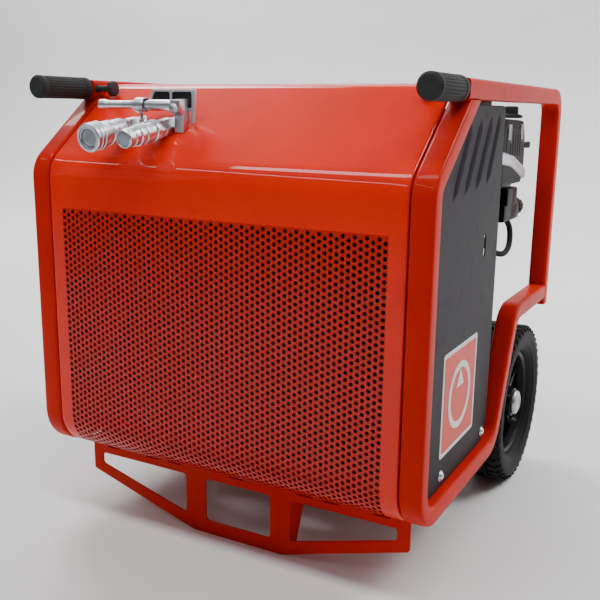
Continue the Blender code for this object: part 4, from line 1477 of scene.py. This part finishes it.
@dataclass
class Hydraulics:
    """The shaft, the pump, the tank and the hoses."""

    couplings: Couplings
    shaft_z: float = 0.300
    tank_half: float = 0.245
    tank_cap: tuple[float, float, float] = (-0.120, 0.362, 0.6003)
    bracket_front: float = 0.200
    bracket_rear: float = 0.300
    bracket_low: float = 0.570
    bracket_wall: float = 0.2697
    hose_radius: float = 0.0083

    def build(self) -> None:
        """Builds the hydraulic group."""
        z = self.shaft_z
        shaft = Shape().rod(0.012, 0.096, 0.480, Vector((0, 0, z)), Y_AXIS)
        shaft.lathe([(0.0118, 0.262), (0.034, 0.262), (0.034, 0.284), (0.029, 0.286),
                     (0.029, 0.294), (0.034, 0.296), (0.034, 0.318), (0.0118, 0.318)],
                    Vector((0, 0, z)), Y_AXIS, 48)
        shaft.piece("pump_shaft", "drive_line", Finish.STEEL, "bright_steel", "drive_shaft")
        self.pump(z)
        bell = Shape().lathe([(0.0123, 0.248), (0.066, 0.248), (0.070, 0.252), (0.078, 0.300),
                              (0.078, 0.329), (0.040, 0.329), (0.040, 0.256), (0.0123, 0.256)],
                             Vector((0, 0, z)), Y_AXIS, 64, 0.002)
        bell.piece("bell_casting", "chassis", Finish.CAST, "cast_aluminium", "bell_housing")
        self.tank()
        self.hoses()

    def pump(self, z: float) -> None:
        """Builds the gear pump: flanges, body and bolts."""
        shape = Shape()
        for start, stop, half, tall in ((0.155, 0.172, 0.050, 0.062),
                                        (0.1725, 0.222, 0.046, 0.058),
                                        (0.2225, 0.2475, 0.050, 0.062)):
            outline = [Vector((0, z)) + p for p in rectangle(2 * half, 2 * tall, 0.014, 6)]
            shape.solid(outline, "Y", start, stop, 0.0015)
        shape.piece("pump_body", "chassis", Finish.CAST, "cast_aluminium", "gear_pump")
        bolts = Shape()
        for x in (-0.036, 0.036):
            for level in (-0.046, 0.046):
                bolts.lathe([(0, 0), (0.006, 0), (0.006, 0.005), (0, 0.0055)],
                            Vector((x, 0.155, z + level)), -Y_AXIS, 6, 0.0005)
        bolts.piece("pump_bolts", "chassis", Finish.ZINC, "zinc_plate", angle=25)

    def tank(self) -> None:
        """Builds the tank with its top ribs, the brackets it hangs from, and its cap."""
        tank = Shape().solid(soften([(0.150, 0.465), (0.392, 0.490), (0.392, 0.600),
                                     (0.150, 0.600)], 0.022, True, 6), "X", -self.tank_half,
                             self.tank_half, 0.006)
        for x in (-0.16, 0.0, 0.16):
            tank.block((x - 0.012, 0.170, 0.5985), (x + 0.012, 0.330, 0.6030), 0.002)
        tank.piece("oil_tank", "chassis", Finish.TANK, "tank_plastic", "hydraulic_tank")
        for side_name, side in SIDES:
            seat = self.tank_half + GAP
            bracket = Shape()
            for near, far, top in ((seat, self.bracket_wall, 0.574),
                                   (self.bracket_wall - 0.0032, self.bracket_wall, 0.640),
                                   (seat, seat + 0.003, 0.598)):
                low, high = outward(side, near, far)
                bracket.block((low, self.bracket_front, self.bracket_low),
                              (high, self.bracket_rear, top), 0.001)
            web = [(side * x, z) for x, z in ((0.2455, 0.572), (0.2690, 0.572), (0.2690, 0.632))]
            for y in (0.202, 0.296):
                bracket.solid(web[::side], "Y", y, y + 0.002, 0.0004)
            bracket.piece(f"tank_hanger_{side_name}", "chassis", Finish.BLACK_ENAMEL,
                          "black_steel", f"tank_bracket_{side_name}")
        cap = Shape().lathe([(0, 0), (0.0240, 0), (0.0280, 0.0030), (0.0280, 0.0170),
                             (0.0262, 0.0190), (0.0110, 0.0192), (0.0100, 0.0200), (0, 0.0200)],
                            Vector(self.tank_cap), Z_AXIS, 120, 0.0006,
                            Ribs(20, 0.0016, 0.0028, 0.0172))
        cap.piece("oil_tank_filler", "oil_tank_cap", Finish.PLASTIC, "black_plastic", "tank_cap",
                  angle=45)

    def hoses(self) -> None:
        """Builds both hoses with their crimped ends."""
        axis = self.couplings.axis
        plan = (("pressure", self.couplings.female_x,
                 [(-0.168, 0.118, 0.540), (-0.180, 0.120, 0.470), (-0.188, 0.138, 0.400),
                  (-0.160, 0.178, 0.330), (-0.066, 0.200, 0.300), (-0.0507, 0.200, 0.300)]),
                ("return", self.couplings.male_x,
                 [(-0.098, 0.118, 0.560), (-0.090, 0.121, 0.535), (-0.085, 0.138, 0.520),
                  (-0.085, 0.1492, 0.520)]))
        for name, x, target in plan:
            start = self.couplings.point(x, -0.0453)
            route = smooth_route([start, start - axis * 0.012] + [Vector(p) for p in target])
            hose = Shape().tube(route, self.hose_radius, 20)
            hose.piece(f"{name}_line", "chassis", Finish.HOSE, "hose_rubber", f"{name}_hose",
                       angle=60)
            cuffs = Shape()
            for end, inside in ((route[0], route[4]), (route[-1], route[-4])):
                cuffs.lathe([(0.0080, 0.0003), (0.0096, 0.0003), (0.0096, 0.0060),
                             (0.0088, 0.0066), (0.0096, 0.0072), (0.0096, 0.0110),
                             (0.0080, 0.0110)], end, inside - end, 32, 0.0003)
            cuffs.piece(f"{name}_cuffs", "chassis", Finish.ZINC, "zinc_plate")


@dataclass
class Engine:
    """The air-cooled V-twin engine with its tank, filter, exhaust and controls."""

    shaft_z: float = 0.300
    fins: int = 12
    fin_pitch: float = 0.0065
    bank: float = math.radians(45)
    screen_spokes: int = 10
    petrol_low: tuple[float, float] = (-0.235, 0.484)
    petrol_high: tuple[float, float] = (0.120, 0.598)
    petrol_cap: tuple[float, float, float] = (-0.150, 0.480, 0.5983)
    cleaner_left: float = 0.142
    cleaner_right: float = 0.260
    cleaner_knob: tuple[float, float, float] = (0.243, 0.505, 0.6043)
    filler: tuple[float, float, float] = (0.2475, 0.5353, 0.459)
    key_x: float = 0.178
    key_z: float = 0.522

    def build(self) -> None:
        """Builds the engine."""
        self.crankcase()
        for side_name, side in SIDES:
            self.cylinder(side_name, side)
        self.blower()
        self.fuel_tank()
        self.air_cleaner()
        self.muffler()
        self.carburettor()
        self.controls()

    def crankcase(self) -> None:
        """Builds the crankcase with its ribs."""
        outline = soften([(-0.120, 0.1579), (0.120, 0.1579), (0.120, 0.330), (0.055, 0.395),
                          (-0.055, 0.395), (-0.120, 0.330)], 0.010, True)
        shape = Shape().solid(outline, "Y", 0.3295, 0.4805, 0.004)
        for z in (0.195, 0.235, 0.275):
            for side in (-1, 1):
                low, high = outward(side, 0.119, 0.1235)
                shape.block((low, 0.345, z), (high, 0.465, z + 0.006), 0.0015)
        shape.piece("engine_case", "chassis", Finish.CAST, "cast_aluminium", "crankcase")

    def cylinder(self, side_name: str, side: int) -> None:
        """Builds one finned cylinder with its head cover."""
        place = (Matrix.Translation((side * 0.022, 0, 0.336))
                 @ Matrix.Rotation(side * self.bank, 4, "Y"))
        shape = Shape().block((-0.036, 0.351, 0.0660), (0.036, 0.424, 0.150), 0.004, place)
        for fin in range(self.fins):
            base = 0.0725 + self.fin_pitch * fin
            shape.block((-0.0495, 0.3455, base), (0.0495, 0.4295, base + 0.0024), 0.0008, place)
        shape.block((-0.045, 0.348, 0.1505), (0.045, 0.427, 0.1612), 0.004, place)
        shape.piece(f"finned_barrel_{side_name}", "chassis", Finish.CAST, "cast_aluminium",
                    f"cylinder_{side_name}")

    def blower(self) -> None:
        """Builds the rear blower housing with its slotted screen."""
        z = self.shaft_z
        shape = Shape().lathe([(0, 0.4815), (0.124, 0.4815), (0.128, 0.4850), (0.1315, 0.500),
                               (0.130, 0.522), (0.124, 0.538), (0.110, 0.546), (0.088, 0.550),
                               (0.086, 0.542), (0, 0.542)], Vector((0, 0, z)), Y_AXIS, 96, 0.003)
        shape.piece("blower_shell", "chassis", Finish.BLACK_ENAMEL, "black_plastic",
                    "blower_housing")
        screen = Shape()
        for radius in (0.020, 0.032, 0.044, 0.056, 0.068, 0.079):
            screen.lathe([(radius, 0.548), (radius + 0.0055, 0.548), (radius + 0.0055, 0.554),
                          (radius, 0.554)], Vector((0, 0, z)), Y_AXIS, 64, 0.0006)
        for spoke in range(self.screen_spokes):
            angle = 2 * math.pi * spoke / self.screen_spokes
            turn = Matrix.Translation((0, 0, z)) @ Matrix.Rotation(angle, 4, "Y")
            screen.block((0.014, 0.545, -0.003), (0.084, 0.552, 0.003), 0.0008, turn)
        screen.lathe([(0, 0.546), (0.018, 0.546), (0.016, 0.562), (0, 0.564)],
                     Vector((0, 0, z)), Y_AXIS, 40)
        screen.piece("blower_screen", "chassis", Finish.PLASTIC, "black_plastic")

    def fuel_tank(self) -> None:
        """Builds the fuel tank with its seam and its cap."""
        outline = rounded_box(self.petrol_low, self.petrol_high, 0.028, 8)
        tank = Shape().solid(outline, "Y", 0.404, 0.556, 0.012)
        tank.solid(outline, "Y", 0.4765, 0.4835, 0.001)
        tank.piece("petrol_tank", "chassis", Finish.TANK, "tank_plastic", "fuel_tank")
        cap = Shape().lathe([(0, 0), (0.0270, 0), (0.0300, 0.0030), (0.0300, 0.0140),
                             (0.0280, 0.0165), (0.0120, 0.0168), (0.0100, 0.0180), (0, 0.0180)],
                            Vector(self.petrol_cap), Z_AXIS, 120, 0.0008,
                            Ribs(18, 0.0018, 0.0028, 0.0142))
        cap.piece("petrol_cap", "fuel_tank_cap", Finish.PLASTIC, "black_plastic", "fuel_cap",
                  angle=45)

    def air_cleaner(self) -> None:
        """Builds the air cleaner cover with its ribs, its pale duct and its knob."""
        shell = soften([(0.415, 0.500), (0.535, 0.500), (0.548, 0.530), (0.545, 0.575),
                        (0.530, 0.601), (0.430, 0.604), (0.415, 0.590)], 0.009, True, 6)
        shape = Shape().solid(shell, "X", self.cleaner_left, self.cleaner_right, 0.007)
        shape.solid(soften([(0.425, 0.590), (0.425, 0.540), (0.530, 0.535), (0.533, 0.590)],
                           0.012, True, 5), "X", 0.255, 0.2612, 0.0025)
        for step in range(5):
            y = 0.446 + 0.014 * step
            shape.block((0.256, y, 0.546), (0.2622, y + 0.004, 0.580), 0.0012)
        for x in (0.165, 0.190, 0.215):
            rib = soften([(0.425, 0.598), (0.535, 0.596), (0.535, 0.604), (0.425, 0.6045)],
                         0.002, True)
            shape.solid(rib, "X", x - 0.003, x + 0.003, 0.0012)
        shape.piece("filter_cover", "chassis", Finish.PLASTIC, "black_plastic", "air_cleaner")
        duct = BentLine([(0.398, 0.546), (0.465, 0.539), (0.546, 0.515)], [0.150])
        band = Shape().bar(duct, rectangle(0.0130, 0.0200, 0.0062, 6), 0.2560)
        band.piece("breather_duct", "chassis", Finish.DUCT, "black_plastic", angle=50)
        clips = Shape()
        for y, z in ((0.438, 0.583), (0.512, 0.583)):
            clips.block((0.2590, y - 0.008, z - 0.012), (0.2625, y + 0.008, z + 0.012), 0.0014)
            clips.tube([Vector((0.2618, y - 0.006, z - 0.016)), Vector((0.2622, y, z + 0.006)),
                        Vector((0.2618, y + 0.006, z - 0.016))], 0.0011, 8)
        clips.piece("filter_clips", "chassis", Finish.STEEL, "bright_steel")
        knob = Shape().lathe([(0, 0), (0.0175, 0), (0.0190, 0.0015), (0.0180, 0.0050),
                              (0.0120, 0.0066), (0.0115, 0.0080), (0.0118, 0.0160),
                              (0.0105, 0.0184), (0.0050, 0.0190), (0, 0.0190)],
                             Vector(self.cleaner_knob), Z_AXIS, 96, 0.0006,
                             Ribs(10, 0.0014, 0.0079, 0.0162))
        knob.piece("filter_knob", "cleaner_knob", Finish.PLASTIC, "black_plastic",
                   "air_cleaner_knob", angle=45)

    @staticmethod
    def muffler() -> None:
        """Builds the muffler with its slotted guard."""
        outline = rounded_box((-0.258, 0.314), (-0.156, 0.383), 0.026, 8)
        body = Shape().solid(outline, "Y", 0.347, 0.558, 0.006)
        body.piece("silencer", "chassis", Finish.STEEL, "bright_steel", "muffler")
        slots = [rounded_box((0.358 + 0.018 * row, 0.324), (0.366 + 0.018 * row, 0.373), 0.004)
                 for row in range(11)]
        guard = Shape()
        outer = rounded_box((0.345, 0.312), (0.560, 0.385), 0.010)
        guard.absorb(cut_plate(outer, slots, 0.0015, side_plane(-0.2612)))
        guard.piece("silencer_guard", "chassis", Finish.BLACK_ENAMEL, "black_steel")

    def carburettor(self) -> None:
        """Builds the carburettor, its float bowl and the ribbed oil filler cap."""
        shape = Shape().block((0.150, 0.4303, 0.462), (0.246, 0.535, 0.4995), 0.008)
        shape.lathe([(0, 0), (0.024, 0), (0.024, 0.012), (0.018, 0.020), (0, 0.020)],
                    Vector((0.200, 0.480, 0.4620)), -Z_AXIS, 48, 0.002)
        shape.block((0.246, 0.450, 0.466), (0.262, 0.510, 0.496), 0.005)
        shape.rod(0.016, 0.0, 0.008, Vector((0.2440, 0.5270, 0.459)), Y_AXIS, 32, 0.001)
        shape.block((0.225, 0.440, 0.442), (0.261, 0.532, 0.470), 0.006)
        shape.piece("carburettor_body", "chassis", Finish.BLACK_ENAMEL, "cast_aluminium",
                    "carburettor")
        cap = Shape().lathe([(0, 0), (0.0110, 0), (0.0145, 0.0025), (0.0145, 0.0190),
                             (0.0130, 0.0215), (0.0050, 0.0240), (0, 0.0240)],
                            Vector(self.filler), Y_AXIS, 96, 0.0005,
                            Ribs(12, 0.0014, 0.0022, 0.0192))
        cap.piece("filler_cap_knob", "filler_cap", Finish.PLASTIC, "black_plastic",
                  "oil_filler_cap", angle=45)

    def controls(self) -> None:
        """Builds the throttle lever, the key switch and the fuel pipe."""
        lever = Shape().solid(soften([(0.5500, 0.556), (0.5500, 0.564), (0.584, 0.566),
                                      (0.590, 0.5605), (0.584, 0.555)], 0.003, True), "X", 0.252,
                              0.258, 0.0012)
        lever.piece("throttle_handle", "throttle", Finish.PLASTIC, "black_plastic",
                    "throttle_lever")
        box = Shape().block((0.140, 0.5500, 0.500), (0.215, 0.5785, 0.545), 0.004)
        box.rod(0.012, 0.0, 0.0015, Vector((self.key_x, 0.5785, self.key_z)), Y_AXIS, 40,
                0.0004)
        box.piece("switch_housing", "chassis", Finish.PLASTIC, "black_plastic", "key_switch_box")
        key = Shape().rod(0.004, 0.0, 0.0105, Vector((self.key_x, 0.5803, self.key_z)), Y_AXIS,
                          24, 0.0004)
        bow = rounded_box((self.key_x - 0.010, 0.5900), (self.key_x + 0.010, 0.6100), 0.007, 5)
        key.absorb(cut_plate(bow, [], 0.0022, Matrix.Translation((0, 0, self.key_z))))
        key.piece("switch_key", "key", Finish.ZINC, "zinc_plate", "ignition_key")
        route = smooth_route([Vector(p) for p in ((0.235, 0.520, 0.448), (0.246, 0.532, 0.425),
                                                  (0.250, 0.520, 0.395), (0.246, 0.490, 0.385),
                                                  (0.225, 0.470, 0.400), (0.205, 0.465, 0.445))])
        pipe = Shape().tube(route, 0.0048, 16)
        pipe.piece("fuel_pipe", "chassis", Finish.HOSE, "hose_rubber", angle=60)


# ------------------------------------------------------------------ the studio

@dataclass(frozen=True)
class Softbox:
    """A rectangular studio light that faces a point."""

    name: str
    spot: tuple[float, float, float]
    aim: tuple[float, float, float]
    size: tuple[float, float]
    power: float

    def build(self) -> None:
        """Adds the light."""
        data = bpy.data.lights.new(self.name, "AREA")
        data.shape = "RECTANGLE"
        data.size, data.size_y = self.size
        data.energy = self.power
        item = bpy.data.objects.new(self.name, data)
        gaze = Vector(self.aim) - Vector(self.spot)
        item.rotation_euler = gaze.to_track_quat("-Z", "Y").to_euler()
        item.location = self.spot
        bpy.context.scene.collection.objects.link(item)


@dataclass
class Studio:
    """The pale sweep that the unit stands on, and the lights."""

    reach: float = 6.0
    depth: float = 3.2
    height: float = 4.0
    ambient: float = 0.08
    boxes: tuple[Softbox, ...] = (
        Softbox("overhead", (0.0, -0.70, 2.5), (0.0, 0.1, 0.45), (2.6, 0.40), 42.0),
        Softbox("crease_strip", (-1.1, -1.6, 2.25), (0.0, -0.07, 0.53), (3.2, 0.09), 9.0),
        Softbox("front_left", (-2.4, -2.4, 1.5), (0.0, 0.0, 0.3), (0.9, 1.4), 1.2),
        Softbox("right", (2.9, 0.2, 1.9), (0.2, 0.3, 0.3), (1.0, 1.4), 2.5),
        Softbox("rear", (-0.4, 2.0, 2.6), (0.0, 0.4, 0.4), (1.6, 0.8), 6.0),
        Softbox("backdrop_left", (-2.8, 1.9, 3.8), (-1.8, 3.6, 0.6), (1.6, 1.6), 170.0),
        Softbox("backdrop_right", (2.8, 1.9, 3.8), (1.8, 3.6, 0.6), (1.6, 1.6), 170.0))

    def build(self) -> None:
        """Builds the sweep, the world and the lights."""
        graph = Graph("pale_sweep")
        tone = graph.noise(2.0).step(0.2, 0.8)
        graph.surface("Base Color", graph.blend(tone, (0.88, 0.88, 0.88), (0.91, 0.91, 0.91)))
        graph.surface("Roughness", 0.65 + tone * 0.1)
        mesh = bmesh.new()
        bend = self.depth - 1.0
        turns = [k * math.pi / 24 for k in range(1, 13)]
        profile = [(-self.reach, 0.0), (bend, 0.0)]
        profile += [(bend + math.sin(turn), 1.0 - math.cos(turn)) for turn in turns]
        profile.append((self.depth, self.height))
        rows = [[mesh.verts.new((x, y, z)) for x in (-self.reach, self.reach)]
                for y, z in profile]
        for low, high in zip(rows, rows[1:]):
            mesh.faces.new((low[0], low[1], high[1], high[0]))
        data = bpy.data.meshes.new("sweep")
        mesh.to_mesh(data)
        mesh.free()
        data.shade_smooth()
        data.materials.append(graph.material)
        item = bpy.data.objects.new("sweep", data)
        bpy.context.scene.collection.objects.link(item)
        for box in self.boxes:
            box.build()
        world = bpy.data.worlds.new("studio")
        world.use_nodes = True
        backdrop = world.node_tree.nodes["Background"]
        backdrop.inputs["Color"].default_value = (1.0, 1.0, 1.0, 1.0)
        backdrop.inputs["Strength"].default_value = self.ambient
        bpy.context.scene.world = world


@dataclass(frozen=True)
class Camera:
    """The view from the front right of the unit, a little above its middle."""

    yaw: float = math.radians(28.317)
    pitch: float = math.radians(12.786)
    roll: float = math.radians(0.757)
    lens: float = 50.2
    sensor: float = 36.0
    spot: tuple[float, float, float] = (0.6025, -0.8692, 0.6125)

    def build(self) -> None:
        """Places the camera."""
        level = math.cos(self.pitch)
        ahead = Vector((-math.sin(self.yaw) * level, math.cos(self.yaw) * level,
                        -math.sin(self.pitch)))
        right = Vector((math.cos(self.yaw), math.sin(self.yaw), 0))
        up = right.cross(ahead)
        turned = right * math.cos(self.roll) + up * math.sin(self.roll)
        upward = up * math.cos(self.roll) - right * math.sin(self.roll)
        data = bpy.data.cameras.new("camera")
        data.sensor_width = self.sensor
        data.lens = self.lens
        item = bpy.data.objects.new("camera", data)
        place = Matrix((turned, upward, -ahead)).transposed().to_4x4()
        place.translation = Vector(self.spot) + Y_AXIS * FRONT_Y
        item.matrix_world = place
        bpy.context.scene.collection.objects.link(item)
        bpy.context.scene.camera = item


def main() -> None:
    """Builds the unit piece by piece, then the studio and the camera."""
    logging.basicConfig(level=logging.INFO, format="%(message)s")
    work = Bodywork()
    couplings = Couplings(work)
    for part in (TubeFrame(work), Foot(work), FrontCover(work), SidePanels(work),
                 Handles(work), Wheels(), couplings, ValveGroup(work), Cooling(),
                 Hydraulics(couplings), Engine(), Studio(), Camera()):
        part.build()


if __name__ == "__main__":
    main()
